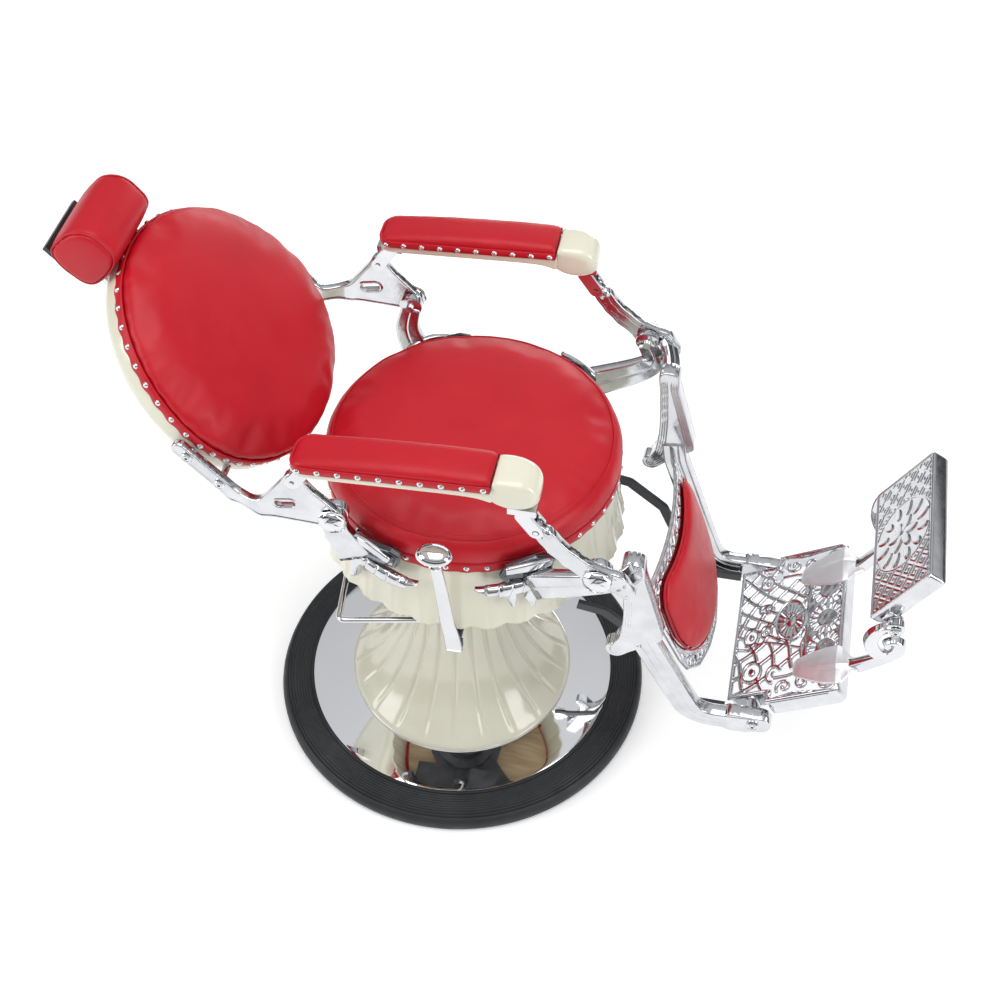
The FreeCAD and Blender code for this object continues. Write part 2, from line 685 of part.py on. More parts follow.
def make_controls():
    sleeve = cylinder("crank_sleeve", "crank_radius", 122, "crank_x", "lever_y + 8", "crank_z", ALONG_Y)
    jaw = box("crank_jaw", 26, 7, 18, "crank_x - 13", "lever_y + 5.5", "crank_z - 9")
    node(fused("pump_crank", [sleeve, jaw]), "pump_crank")
    path = [("crank_x + 1", "lever_y", "crank_z - 11"), ("crank_x - 4", "lever_y - 15", "crank_z + 85"),
            ("crank_x - 9", "lever_y - 49", "crank_z + 278")]
    bar = swept("lever", path, 300, (26, 8), Vector(1, 0, 0))
    node(bar, "lever_bar")
    knob = turned("lever_knob", [(0, 0), (9, 0), (11, 4), (22, 8), (28, 14), (26, 20), (14, 25), (0, 26)])
    place(knob, "crank_x - 9", "lever_y - 49", "crank_z + 278.2")
    corners = (-123, -152), (-152, -152), (-140, -256), (26, -222), (28, -152), (1, -152)
    handle = swept("handle", [(x, y, "handle_z") for x, y in corners], 10, ("handle_radius",))
    node(handle, "recline_handle")


# ---------------------------------------------------------------- back and headrest

def back_point(across, up, out):
    """A place given in the frame of the back."""
    turn = frame_turn(size("back_recline"))
    return point("back_x", 0, "back_z") + turn.multVec(Vector(across, up, out))


def egg_sections(body, levels, half_width, rise, drop):
    """Sketches of the back's outline, each scaled, at their levels over the rim plane."""
    sections = []
    for level, scale in levels:
        sketch = new_sketch(body, "XY_Plane", level)
        add_egg(sketch, f"({half_width}) * {scale}", f"({rise}) * {scale}", f"({drop}) * {scale}")
        sections.append(sketch)
    return sections


def make_back():
    rim = ("back_half_width", "back_rise", "back_drop")
    turn = frame_turn(size("back_recline"))
    shell = new_body("back_shell")
    outside = [("0", 1), ("-0.5 * shell_depth", 0.995), ("-0.75 * shell_depth", 0.96),
               ("-0.92 * shell_depth", 0.86), ("-shell_depth", 0.62)]
    add_loft(shell, "AdditiveLoft", egg_sections(shell, outside, *rim))
    inside = [("0", 1), ("-0.5 * shell_depth", 0.99), ("-0.75 * shell_depth + shell_wall", 0.95),
              ("-0.92 * shell_depth + shell_wall", 0.85), ("-shell_depth + shell_wall", 0.6)]
    inner_rim = [f"{text} - shell_wall" for text in rim]
    add_loft(shell, "SubtractiveLoft", egg_sections(shell, inside, *inner_rim))
    place(shell, "back_x", 0, "back_z", turn)

    cushion = new_body("back_cushion")
    levels = [("0.2", 0.985), ("12", 0.99), ("0.4 * back_crown", 1.03), ("0.55 * back_crown", 1.02),
              ("0.7 * back_crown", 0.94), ("0.86 * back_crown", 0.79), ("0.97 * back_crown", 0.52),
              ("back_crown", 0.25)]
    add_loft(cushion, "AdditiveLoft", egg_sections(cushion, levels, *rim))
    place(cushion, "back_x", 0, "back_z", turn)

    count = 46
    spots = []
    for index in range(count):
        angle = 2 * math.pi * (index + 0.5) / count
        rise = size("back_rise") if math.sin(angle) > 0 else size("back_drop")
        flat = Vector(size("back_half_width") * math.cos(angle), rise * math.sin(angle), 0)
        outward = Vector(flat.x / size("back_half_width") ** 2, flat.y / rise ** 2, 0).normalize()
        spot = flat + outward * 0.3
        spots.append((back_point(spot.x, spot.y, 5.5), turn.multVec(outward)))
    nail_group("back_nails", spots)

    hinge = ("rear_pivot_x", "rear_pivot_z")
    arm_pin = ("arm_rear_x", "arm_rear_z")
    knee = (-238, 730)
    strap_top = (-361, 817)
    for name, side in SIDES.items():
        side_plate(f"back_bracket_{name}", [
            (strap_top, (-287, 731), 13, 13), ((-287, 731), knee, 13, 15), (knee, hinge, 15, "pivot_eye"),
            (knee, arm_pin, 12, "pin_radius + 8"), (arm_pin, hinge, "pin_radius + 8", 12)],
            f"{side} * (rear_eye_y + link_thick + eye_gap)", "link_thick",
            [(*hinge, "pivot_radius + running_gap"), (*arm_pin, "pin_radius")])
    screws = []
    for side in SIDES.values():
        for x, z, reach in ((-350, 804, 23), (-306, 753, 43)):
            inner = f"rear_eye_y + link_thick / 2 + eye_gap - {reach}"
            shank_y = inner if side > 0 else f"-({inner}) - {reach}"
            outer = f"{inner} + {reach} + link_thick"
            head_y = outer if side > 0 else f"-({outer}) - 5"
            spacer = cylinder("strap_spacer", 8, reach, x, shank_y, z, ALONG_Y)
            screws.append(spacer)
            screws.append(cylinder("strap_screw", 9, 5, x, head_y, z, ALONG_Y))
    group("strap_screws", screws)
    pins = []
    for side in SIDES.values():
        middle = f"{side} * (rear_eye_y + link_thick + eye_gap)"
        pins.append(cylinder(
            "rear_arm_pin", "pin_radius", 29, "arm_rear_x", f"{middle} - 14.5", "arm_rear_z", ALONG_Y))
    group("rear_arm_pins", pins)

    guide = new_body("headrest_guide")
    sketch = new_sketch(guide, "XZ_Plane")
    half = "post_width / 2 + slide_gap"
    front = "-(post_back - post_thick / 2 - slide_gap)"
    rear = "-(post_back + post_thick / 2 + slide_gap)"
    wide, near, far = f"({half} + guide_wall)", "-shell_depth - 0.3", f"{rear} - guide_wall"
    add_outline(sketch, [(f"-{wide}", near), (wide, near), (wide, far), (f"-{wide}", far)])
    add_pad(guide, sketch, 90)
    sketch = new_sketch(guide, "XZ_Plane")
    add_outline(sketch, [(f"-({half})", front), (half, front), (half, rear), (f"-({half})", rear)])
    add_pocket(guide, sketch, 200)
    spot = back_point(0, 80, 0)
    place(guide, spot.x, 0, spot.z, turn)


def make_headrest():
    lean = size("head_tilt")
    turn = frame_turn(lean)
    middle = point("head_x", 0, "head_z")
    low = back_point(0, 25, -size("post_back"))
    hinge = back_point(0, 271, -size("post_back"))
    path = [(low.x, 0, low.z), (hinge.x, 0, hinge.z)]
    post = swept("post", path, 20, ("post_width", "post_thick"))
    barrel = cylinder("post_barrel", 7, "post_width", hinge.x, "-post_width / 2", hinge.z, ALONG_Y)
    bore = cylinder("post_bore", 4, 90, hinge.x, -45, hinge.z, ALONG_Y)
    node(cut("headrest_post", fused("post_fused", [post, barrel]), bore), "headrest_post")

    back_face = -size("head_depth") / 2
    upright = Rotation(Vector(0, 1, 0), -lean)
    wide, high = "head_width - 46", "head_height - 24"
    corner = middle + turn.multVec(Vector(-size(wide) / 2, -size(high) / 2, back_face - 8.2))
    board = box("board_plate", 8, wide, high, corner.x, corner.y, corner.z, upright)
    lugs = []
    for side in SIDES.values():
        across = size("post_width") / 2 + 0.4 if side > 0 else -size("post_width") / 2 - 6.4
        corner = middle + turn.multVec(Vector(across, -23, back_face - 27))
        lugs.append(box("board_lug", 23, 6, 18, corner.x, corner.y, corner.z, upright))
    axle = cylinder("board_axle", "4 - running_gap", 60, hinge.x, -30, hinge.z, ALONG_Y)
    node(fused("headrest_board", [board, axle] + lugs), "headrest_board")

    pillow = new_body("headrest_cushion")
    sketch = new_sketch(pillow, "YZ_Plane")
    half_h, half_d = "head_height / 2", "head_depth / 2"
    add_outline(sketch, [
        (f"-({half_h})", f"-({half_d}) + 12"), (f"-({half_h}) + 9", f"-({half_d})"),
        (f"{half_h} - 17", f"-({half_d})"), (half_h, f"-({half_d}) / 2 + 1"),
        (f"{half_h} - 2", f"0.6 * {half_d}"), (f"{half_h} - 25", half_d),
        (f"-({half_h}) + 21", half_d), (f"-({half_h}) + 1", f"0.52 * {half_d}")])
    add_pad(pillow, sketch, "head_width")
    round_edges(pillow, 12, lambda middle_point, edge: abs(middle_point.x) < 1)
    place(pillow, "head_x", 0, "head_z", turn)


# ---------------------------------------------------------------- armrests

def make_armrest(name, side):
    base = new_body(f"arm_base_{name}")
    sketch = new_sketch(base, "XZ_Plane")
    add_outline(sketch, [
        (-168, 849), (104, 864), (126, 856), (146, 843), (184, 842), (197, 856), (198, 886), (186, 904),
        (150, 907), (131, 903), (129, 880), (-168, 862)])
    add_pad(base, sketch, "arm_width")
    place(base, 0, f"{side} * arm_y", 0)

    pad = new_body(f"arm_pad_{name}")
    sketch = new_sketch(pad, "XZ_Plane")
    add_outline(sketch, [
        (-170, 862.3), (128.6, 880.3), (128.6, 904), (60, 904), (-60, 897), (-158, 887), (-170, 880)])
    add_pad(pad, sketch, "pad_width")
    half = size("pad_width") / 2
    round_edges(pad, 9, lambda middle_point, edge: abs(abs(middle_point.y) - half) < 0.1
                and edge.Length > 60 and middle_point.z > 885)
    place(pad, 0, f"{side} * arm_y", 0)

    spots = []
    for index in range(10):
        x = -156 + 30.5 * index
        z = 868 + 0.0605 * (x + 156)
        for way in (-1, 1):
            y = side * size("arm_y") + way * (half + 0.3)
            spots.append((Vector(x, y, z), Vector(0, way, 0)))
    nail_group(f"arm_nails_{name}", spots)

    eye_rear = size("rear_eye_y + link_thick + eye_gap")
    eye_front = size("front_eye_y + link_thick + eye_gap")
    forks = []
    for end, middle_y, pin_at, top_at, gap in (
            ("rear", eye_rear, ("arm_rear_x", "arm_rear_z"), (-156, 838), "running_gap"),
            ("front", eye_front, ("arm_front_x", "arm_front_z"), (172, 826), "open_gap")):
        slot = "link_thick / 2 + eye_gap"
        ears = []
        for way in (-1, 1):
            body = doc.addObject("PartDesign::Body", f"{end}_ear_{name}")
            sketch = new_sketch(body, "XZ_Plane")
            add_stadium(sketch, pin_at, top_at, "pin_radius + 7", 11)
            add_pad(body, sketch, 5)
            sketch = new_sketch(body, "XZ_Plane")
            add_circle(sketch, *pin_at, f"pin_radius + {gap}")
            add_pocket(body, sketch, 40)
            place(body, 0, f"{side} * {middle_y} + {way} * ({slot} + 2.5)", 0)
            ears.append(body)
        top = size(f"2 * ({slot}) + 10")
        x, z = (-177, 835.5) if end == "rear" else (150, 830)
        tilt = Rotation(Vector(0, 1, 0), -3.2) if end == "rear" else Rotation()
        thick = 12 if end == "rear" else 11.7
        low_y = f"{side} * {middle_y} - {top / 2}"
        bridge = box(f"{end}_bridge", 42, top, thick, x, low_y, z, tilt)
        forks.append(fused(f"{end}_fork_{name}", ears + [bridge]))
    group(f"arm_forks_{name}", forks)


# ---------------------------------------------------------------- leg frame

def make_leg_frame():
    hinge = ("front_pivot_x", "front_pivot_z")
    arm_pin = ("arm_front_x", "arm_front_z")
    rocker_y = "front_eye_y + link_thick + eye_gap"
    for name, side in SIDES.items():
        body = side_plate(f"leg_rocker_{name}", [
            (arm_pin, (228, 758), "pin_radius + 8", 14), ((228, 758), hinge, 14, "pivot_eye"),
            (hinge, (331, 676), "pivot_eye", 15)],
            f"{side} * ({rocker_y})", "link_thick",
            [(*hinge, "pivot_radius + running_gap"), (*arm_pin, "pin_radius")])
        step = new_sketch(body, "XZ_Plane")
        add_circle(step, 331, 676, 15)
        shoulder = add_pad(body, step, f"{rocker_y} + link_thick / 2 - sleeve_y + sleeve_width / 2", False)
        shoulder.Reversed = side < 0
        step.AttachmentOffset = Placement(Vector(0, 0, -side * size("link_thick") / 2), Rotation())
        sleeve = new_sketch(body, "XZ_Plane")
        add_outline(sleeve, [
            (318, 682), (345, 682), (366, 600), (386, 516), (360, 500), (338, 478), (322, 458),
            (308, 466), (318, 500), (322, 560), (318, 640)])
        sleeve.AttachmentOffset = Placement(
            Vector(0, 0, side * (size(rocker_y) - size("sleeve_y"))), Rotation())
        add_pad(body, sleeve, "sleeve_width")
        bends = ((352, "sleeve_y - 7", 520), (357, "sleeve_y - 9", 485),
                 (452, "rail_y", 246), (572, "rail_y", 256))
        route = [(x, f"{side} * ({y})", z) for x, y, z in bends]
        rail = swept(f"rail_{name}", route, 40, ("rail_width", "rail_height"))
        bore = cylinder("rail_bore", "foot_pin_radius + running_gap", 80, "foot_x", f"{side} * rail_y - 40",
                        "foot_z", ALONG_Y)
        cleared = cut(f"rail_{name}_cut", rail, body)
        node(cut(f"rail_{name}_bored", cleared, bore), f"leg_rail_{name}")
        stay_points = [(240, 470), (284, 462), (348, 408), (366, 366), (440, 246), (505, 246)]
        stay = swept(f"stay_{name}", [(x, f"{side} * stay_y", z) for x, z in stay_points], 14,
                     ("stay_width", "stay_height"))
        node(stay, f"leg_stay_{name}")

    pins = []
    for side in SIDES.values():
        middle = f"{side} * ({rocker_y})"
        pins.append(cylinder(
            "front_arm_pin", "pin_radius", 26, "arm_front_x", f"{middle} - 13", "arm_front_z", ALONG_Y))
    group("front_arm_pins", pins)
    make_calf("calf_panel", "0", "panel_thick", [
        [("panel_half", 0), (163, -75), (156, -150), (147, -222)],
        [(147, -222), (110, -262), (0, "-panel_length"), (-110, -262), (-147, -222)],
        [(-147, -222), (-156, -150), (-163, -75), ("-panel_half", 0)],
        [("-panel_half", 0), ("panel_half", 0)]])
    make_calf("calf_pad", "panel_thick + 0.3", "calf_pad_thick", [
        [(116, -26), (0, -42), (-116, -26)], [(-116, -26), (-147, -66), (-146, -130), (-130, -198)],
        [(-130, -198), (-80, -236), (0, -252), (80, -236), (130, -198)],
        [(130, -198), (146, -130), (147, -66), (116, -26)]])


def make_calf(label, inset, thick, shield):
    """A sheet bent round a long axis, trimmed to a shield."""
    body = new_body(label)
    sketch = new_sketch(body, "XZ_Plane")
    half, bulge = "panel_half", "panel_bulge"
    low, high = size(inset), size(inset) + size(thick)
    for rise, flip in ((low, False), (high, True)):
        ends = [point(f"-{half}", rise, 0), point(0, f"{bulge} + {rise}", 0), point(half, rise, 0)]
        sketch.addGeometry(Part.Arc(*ends), False)
    sketch.addGeometry(Part.LineSegment(point(f"-{half}", low, 0), point(f"-{half}", high, 0)), False)
    sketch.addGeometry(Part.LineSegment(point(half, low, 0), point(half, high, 0)), False)
    add_pad(body, sketch, "panel_length + 5", False)
    trim = new_sketch(body, "XY_Plane")
    add_outline(trim, [(-400, -500), (400, -500), (400, 200), (-400, 200)])
    add_curves(trim, shield)
    add_pocket(body, trim, 300)
    place(body, "panel_x", 0, "panel_z", frame_turn(size("leg_lean")))


# ---------------------------------------------------------------- foot plate and foot board

def make_foot_plate():
    turn = Rotation(Vector(0, 1, 0), -size("foot_tilt"))
    plate = new_body("foot_plate")
    sketch = new_sketch(plate, "XY_Plane", "foot_rise - foot_thick")
    narrow, wide = "foot_half_rear", "foot_half_front"
    add_outline(sketch, [
        (-39, f"-{narrow}"), (33, f"-{narrow}"), (33, f"-{wide}"), (168, f"-{wide}"),
        (168, wide), (33, wide), (33, narrow), (-39, narrow)])
    add_pad(plate, sketch, "foot_thick", False)
    walls = [((33, f"-{wide}"), (168, f"-{wide} + 5")), ((33, f"{wide} - 5"), (168, wide)),
             ((163, f"-{wide} + 5"), (168, f"{wide} - 5")), ((-39, f"-{narrow}"), (33, f"-{narrow} + 5")),
             ((-39, f"{narrow} - 5"), (33, narrow))]
    for (x_low, y_low), (x_high, y_high) in walls:
        sketch = new_sketch(plate, "XY_Plane", "foot_rise - foot_skirt")
        add_outline(sketch, [(x_low, y_low), (x_high, y_low), (x_high, y_high), (x_low, y_high)])
        add_pad(plate, sketch, "foot_skirt - foot_thick / 2", False)
    for side in SIDES.values():
        sketch = new_sketch(plate, "XZ_Plane")
        add_stadium(sketch, (0, 0), (4, "foot_rise - 14"), 12, 12)
        sketch.AttachmentOffset = Placement(Vector(0, 0, -side * size(f"{narrow} - 2") - 7), Rotation())
        add_pad(plate, sketch, 14, False)
    sketch = new_sketch(plate, "XZ_Plane")
    add_circle(sketch, 0, 0, "foot_pin_radius")
    add_pocket(plate, sketch, 600)
    for column in range(4):
        for row_index in range(7):
            sketch = new_sketch(plate, "XY_Plane", "foot_rise")
            x, y = -22 + 34 * column, -108 + 36 * row_index
            add_outline(sketch, [(x, y), (x + 12, y - 13), (x + 24, y), (x + 12, y + 13)])
            add_pocket(plate, sketch, 24)
    place(plate, "foot_x", 0, "foot_z", turn)

    pins = []
    for side in SIDES.values():
        inner, outer = "foot_half_rear - 8", "rail_y + rail_width / 2 + 2"
        start = inner if side > 0 else f"-({outer})"
        length = f"{outer} - ({inner})"
        head_y = outer if side > 0 else f"-({outer}) - 5"
        shank = cylinder("foot_pin_shank", "foot_pin_radius", length, "foot_x", start, "foot_z", ALONG_Y)
        head = cylinder("foot_pin_head", "foot_pin_radius + 5", 5, "foot_x", head_y, "foot_z", ALONG_Y)
        pins.append(fused("foot_pin", [shank, head]))
    group("foot_hinge_screws", pins)

    for name, side in SIDES.items():
        label = f"foot_arm_{name}"
        arm_points = [(640, 100, 357.7), (688, 112, 387), (748, 124, 395), (779, 134, 437), (777, 141, 470),
                      (749, 146, 489), (742, "eye_y", 530)]
        arm = swept(label, [(x, f"{side} * ({y})", z) for x, y, z in arm_points], 16, (14, 22))
        middle = f"{side} * eye_y"
        eye = cylinder(
            label + "_eye", 15, "eye_width", "board_x", f"{middle} - eye_width / 2", "board_z", ALONG_Y)
        bore = cylinder(
            label + "_bore", "board_pin_radius + running_gap", 60, "board_x", f"{middle} - 30", "board_z",
            ALONG_Y)
        head_y = "eye_y + eye_width / 2" if side > 0 else "-(eye_y + eye_width / 2 + 12)"
        head_room = cylinder(
            label + "_head_room", "board_pin_radius + 5", 12, "board_x", head_y, "board_z", ALONG_Y)
        holes = fused(label + "_holes", [bore, head_room])
        node(cut(label + "_bored", fused(label + "_fused", [arm, eye]), holes), label)


def rectangle(half_x, half_y):
    """The corners of a rectangle about the origin."""
    return [(f"-({half_x})", f"-({half_y})"), (half_x, f"-({half_y})"), (half_x, half_y),
            (f"-({half_x})", half_y)]


def make_foot_board():
    lean = size("board_lean")
    angle = math.radians(lean)
    along = Vector(math.sin(angle), 0, math.cos(angle))
    face = Vector(-math.cos(angle), 0, math.sin(angle))
    middle = (point("board_x", 0, "board_z") + along * (size("board_length") / 2 - size("board_low"))
              + face * size("board_back"))
    turn = Rotation(Vector(0, -1, 0), along, face, "XYZ")
    tray = new_body("board_tray")
    sketch = new_sketch(tray, "XY_Plane", "-board_depth")
    add_outline(sketch, rectangle("board_half", "board_length / 2"))
    add_pad(tray, sketch, "board_depth", False)
    sketch = new_sketch(tray, "XY_Plane", "-board_wall")
    add_outline(sketch, rectangle("board_half - board_wall", "board_length / 2 - board_wall"))
    hollow = tray.newObject("PartDesign::Pocket", "board_hollow")
    hollow.Profile = sketch
    hollow.Reversed = False
    bind(hollow, "Length", "board_depth")
    for side in SIDES.values():
        sketch = new_sketch(tray, "YZ_Plane")
        low = "board_low - board_length / 2"
        add_stadium(sketch, (low, "-board_back"), (low, -14), 12, 12)
        sketch.AttachmentOffset = Placement(Vector(0, 0, side * (size("board_half") - 3)), Rotation())
        add_pad(tray, sketch, 6)
    place(tray, middle.x, 0, middle.z, turn)

    pad = new_body("board_pad")
    sketch = new_sketch(pad, "XY_Plane", "-board_depth - 12")
    add_outline(sketch, rectangle("board_half - board_wall - 3.5", "board_length / 2 - board_wall - 0.5"))
    add_pad(pad, sketch, "board_depth - board_wall + 11.7", False)
    round_edges(pad, 9, lambda middle_point, edge: middle_point.z < -size("board_depth") - 11.5)
    place(pad, middle.x, 0, middle.z, turn)

    bolts = []
    for side in SIDES.values():
        inner, outer = "board_half - 6", "eye_y + eye_width / 2 + 2.5"
        shank_y = inner if side > 0 else f"-({outer})"
        head_y = outer if side > 0 else f"-({outer}) - 5"
        shank = cylinder(
            "board_pin_shank", "board_pin_radius", f"{outer} - ({inner})", "board_x", shank_y, "board_z",
            ALONG_Y)
        head = cylinder("board_pin_head", "board_pin_radius + 4", 5, "board_x", head_y, "board_z", ALONG_Y)
        bolts.append(fused("board_pin", [shank, head]))
    drilled = cut("board_tray_drilled", tray, cylinder(
        "board_tray_bore", "board_pin_radius", 400, "board_x", -200, "board_z", ALONG_Y))
    tray.Label = "board_tray_body"
    nodes.remove(tray)
    node(drilled, "board_tray")
    group("board_hinge_bolts", bolts)


# ---------------------------------------------------------------- build, check and write

make_base()
make_lift()
make_seat()
make_seat_brackets()
make_controls()
make_back()
make_headrest()
for arm_name, arm_side in SIDES.items():
    make_armrest(arm_name, arm_side)
make_leg_frame()
make_foot_plate()
make_foot_board()
doc.recompute()

faults = [f"{thing.Label}: {thing.State}" for thing in doc.Objects
          if "Invalid" in thing.State or "Error" in thing.State]
for thing in nodes:
    if thing.Shape.isNull() or not thing.Shape.isValid() or not thing.Shape.Solids:
        faults.append(f"{thing.Label}: bad shape")
if faults:
    raise RuntimeError("; ".join(faults))

os.makedirs("parts", exist_ok=True)
for thing in nodes:
    thing.Shape.exportStep(f"parts/{thing.Label}.step")
print(len(nodes), "nodes")
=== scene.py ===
import json
import math

import bmesh
import bpy
import numpy as np
from mathutils import Matrix, Vector
from mathutils.bvhtree import BVHTree


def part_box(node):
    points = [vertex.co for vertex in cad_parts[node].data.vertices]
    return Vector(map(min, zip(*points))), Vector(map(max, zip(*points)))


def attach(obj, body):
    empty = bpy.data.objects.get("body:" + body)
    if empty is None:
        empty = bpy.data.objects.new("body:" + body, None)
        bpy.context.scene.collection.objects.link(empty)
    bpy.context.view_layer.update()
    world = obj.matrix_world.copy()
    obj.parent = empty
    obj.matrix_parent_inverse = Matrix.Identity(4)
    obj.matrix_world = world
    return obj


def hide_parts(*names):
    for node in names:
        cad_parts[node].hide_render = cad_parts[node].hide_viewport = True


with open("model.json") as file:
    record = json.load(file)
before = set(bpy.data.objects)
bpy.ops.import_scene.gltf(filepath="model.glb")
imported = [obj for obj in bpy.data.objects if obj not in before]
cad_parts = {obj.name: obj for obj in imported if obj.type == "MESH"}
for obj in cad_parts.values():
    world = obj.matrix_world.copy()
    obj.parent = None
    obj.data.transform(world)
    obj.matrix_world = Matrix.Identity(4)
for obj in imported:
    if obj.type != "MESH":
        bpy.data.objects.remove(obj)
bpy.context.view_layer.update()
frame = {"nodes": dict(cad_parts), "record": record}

# Lengths in this script are millimetres in the CAD frame, and MM turns them into Blender's metres.
MM = 0.001
SIDES = {"right": -1, "left": 1}

# Places that the CAD model gives, worked out from its boxes.
BASE_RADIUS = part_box("base_ring")[1].x / MM
SEAT_X = (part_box("seat_cushion")[0].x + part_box("seat_cushion")[1].x) / 2 / MM
SEAT_NAIL_RADIUS = 243
SEAT_NAIL_HEIGHT = 637
SEAM_RADIUS = 228
SEAM_HEIGHT = 695
CROWN_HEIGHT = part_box("seat_cushion")[1].z / MM
SKIRT_X = (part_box("upper_skirt")[0].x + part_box("upper_skirt")[1].x) / 2 / MM
SKIRT_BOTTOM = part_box("upper_skirt")[0].z / MM
SKIRT_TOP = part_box("upper_skirt")[1].z / MM
BACK_CENTRE = (-346, 0, 818)
BACK_LEAN = 41
BACK_SIZE = (223, 232, 181)
HEAD_CENTRE = (-534, 0, 1021)
HEAD_LEAN = 41
PANEL_TOP = (346, 0, 541)
PANEL_LEAN = 20.1
FOOT_HINGE = (556, 0, 256)
FOOT_TILT = 31.7
BOARD_HINGE = (746, 0, 539)
BOARD_LEAN = 29
REAR_PIVOT = (-124, 730)
FRONT_PIVOT = (285, 704)
REAR_ARM_PIN = (-179, 806)
FRONT_ARM_PIN = (192, 796)
REAR_EYE_Y = 239
FRONT_EYE_Y = 255
LINK_THICK = 13.5
ARM_Y = 258
RAIL_Y = 170
SLEEVE_Y = 211
BOARD_EYE_Y = 147
BOARD_HALF = (134, 73)
BOARD_RISE = 32
BOARD_LOW = 26
PLATE_TOP = 31
PANEL_HALF = 172
PANEL_BULGE = 25

# Half of the calf pad's outline, from the middle of its top to the middle of its foot.
PAD_SHIELD = [(0, -42), (58, -37), (108, -29), (130, -38), (143, -62), (146, -96), (146, -134),
              (139, -170), (127, -197), (104, -221), (76, -237), (40, -247), (0, -250)]

# Millimetres of arc in a degree at the skirt, and how flat the lever's knob is across.
DEGREE = 4.6
KNOB_OVAL = 0.74


# ---------------------------------------------------------------- camera, light and floor

def make_camera():
    azimuth, elevation, roll = (math.radians(angle) for angle in (12.204, 48.637, -0.773))
    back = Vector((math.sin(azimuth) * math.cos(elevation), -math.cos(azimuth) * math.cos(elevation),
                   math.sin(elevation)))
    right = (-back).cross(Vector((0, 0, 1))).normalized()
    up = right.cross(-back)
    rolled_right = right * math.cos(roll) + up * math.sin(roll)
    rolled_up = up * math.cos(roll) - right * math.sin(roll)
    data = bpy.data.cameras.new("camera")
    data.lens = 55.651
    data.sensor_width = 36
    camera = bpy.data.objects.new("camera", data)
    turn = Matrix((rolled_right, rolled_up, back)).transposed().to_4x4()
    camera.matrix_world = Matrix.Translation((0.4463, -1.69726, 2.50354)) @ turn
    bpy.context.scene.collection.objects.link(camera)
    bpy.context.scene.camera = camera


def add_area(name, location, target, size_x, size_y, power):
    data = bpy.data.lights.new(name, "AREA")
    data.shape = "RECTANGLE"
    data.size = size_x
    data.size_y = size_y
    data.energy = power
    light = bpy.data.objects.new(name, data)
    light.location = location
    light.rotation_mode = "QUATERNION"
    light.rotation_quaternion = (Vector(target) - Vector(location)).to_track_quat("-Z", "Y")
    bpy.context.scene.collection.objects.link(light)


def make_studio():
    """A pale floor, a world that is bright above and grey at the horizon, and soft boxes."""
    world = bpy.data.worlds.new("studio")
    bpy.context.scene.world = world
    world.use_nodes = True
    nodes, links = world.node_tree.nodes, world.node_tree.links
    place = nodes.new("ShaderNodeTexCoord")
    split = nodes.new("ShaderNodeSeparateXYZ")
    ramp = nodes.new("ShaderNodeValToRGB")
    links.new(place.outputs["Generated"], split.inputs[0])
    links.new(split.outputs["Z"], ramp.inputs["Fac"])
    links.new(ramp.outputs["Color"], nodes["Background"].inputs["Color"])
    stops = ramp.color_ramp.elements
    stops[0].position, stops[0].color = 0.0, (0.22, 0.225, 0.235, 1)
    stops[1].position, stops[1].color = 1.0, (1.0, 1.0, 1.0, 1)
    for position, grey in ((0.10, 0.06), (0.24, 0.16), (0.33, 0.80), (0.46, 0.85), (0.50, 0.22),
                           (0.57, 0.28), (0.63, 0.80), (0.90, 0.95)):
        stop = stops.new(position)
        stop.color = (grey, grey * 1.01, grey * 1.03, 1)
    nodes["Background"].inputs["Strength"].default_value = 0.72

    floor = bpy.data.meshes.new("floor")
    reach = 12.0
    floor.from_pydata([(-reach, -reach, 0), (reach, -reach, 0), (reach, reach, 0), (-reach, reach, 0)], [],
                      [(0, 1, 2, 3)])
    plate = bpy.data.objects.new("floor", floor)
    bpy.context.scene.collection.objects.link(plate)
    material = bpy.data.materials.new("floor_paint")
    material.use_nodes = True
    shader = material.node_tree.nodes["Principled BSDF"]
    shader.inputs["Base Color"].default_value = (0.97, 0.97, 0.97, 1)
    shader.inputs["Roughness"].default_value = 0.9
    shader.inputs["Specular IOR Level"].default_value = 0.1
    shader.inputs["Emission Color"].default_value = (1.0, 1.0, 1.0, 1)
    shader.inputs["Emission Strength"].default_value = 0.22
    floor.materials.append(material)

    middle = (0.1, 0, 0.6)
    add_area("top_box", (0.2, -0.5, 3.6), middle, 2.6, 2.6, 48)
    add_area("left_box", (-3.0, -1.6, 2.0), middle, 1.6, 2.4, 40)
    add_area("right_box", (3.2, -1.2, 1.8), middle, 1.2, 2.4, 34)
    add_area("rear_box", (0.4, 3.8, 1.5), middle, 3.0, 1.0, 34)
    scene = bpy.context.scene
    scene.view_settings.view_transform = "Standard"
    scene.view_settings.look = "None"


# ---------------------------------------------------------------- materials

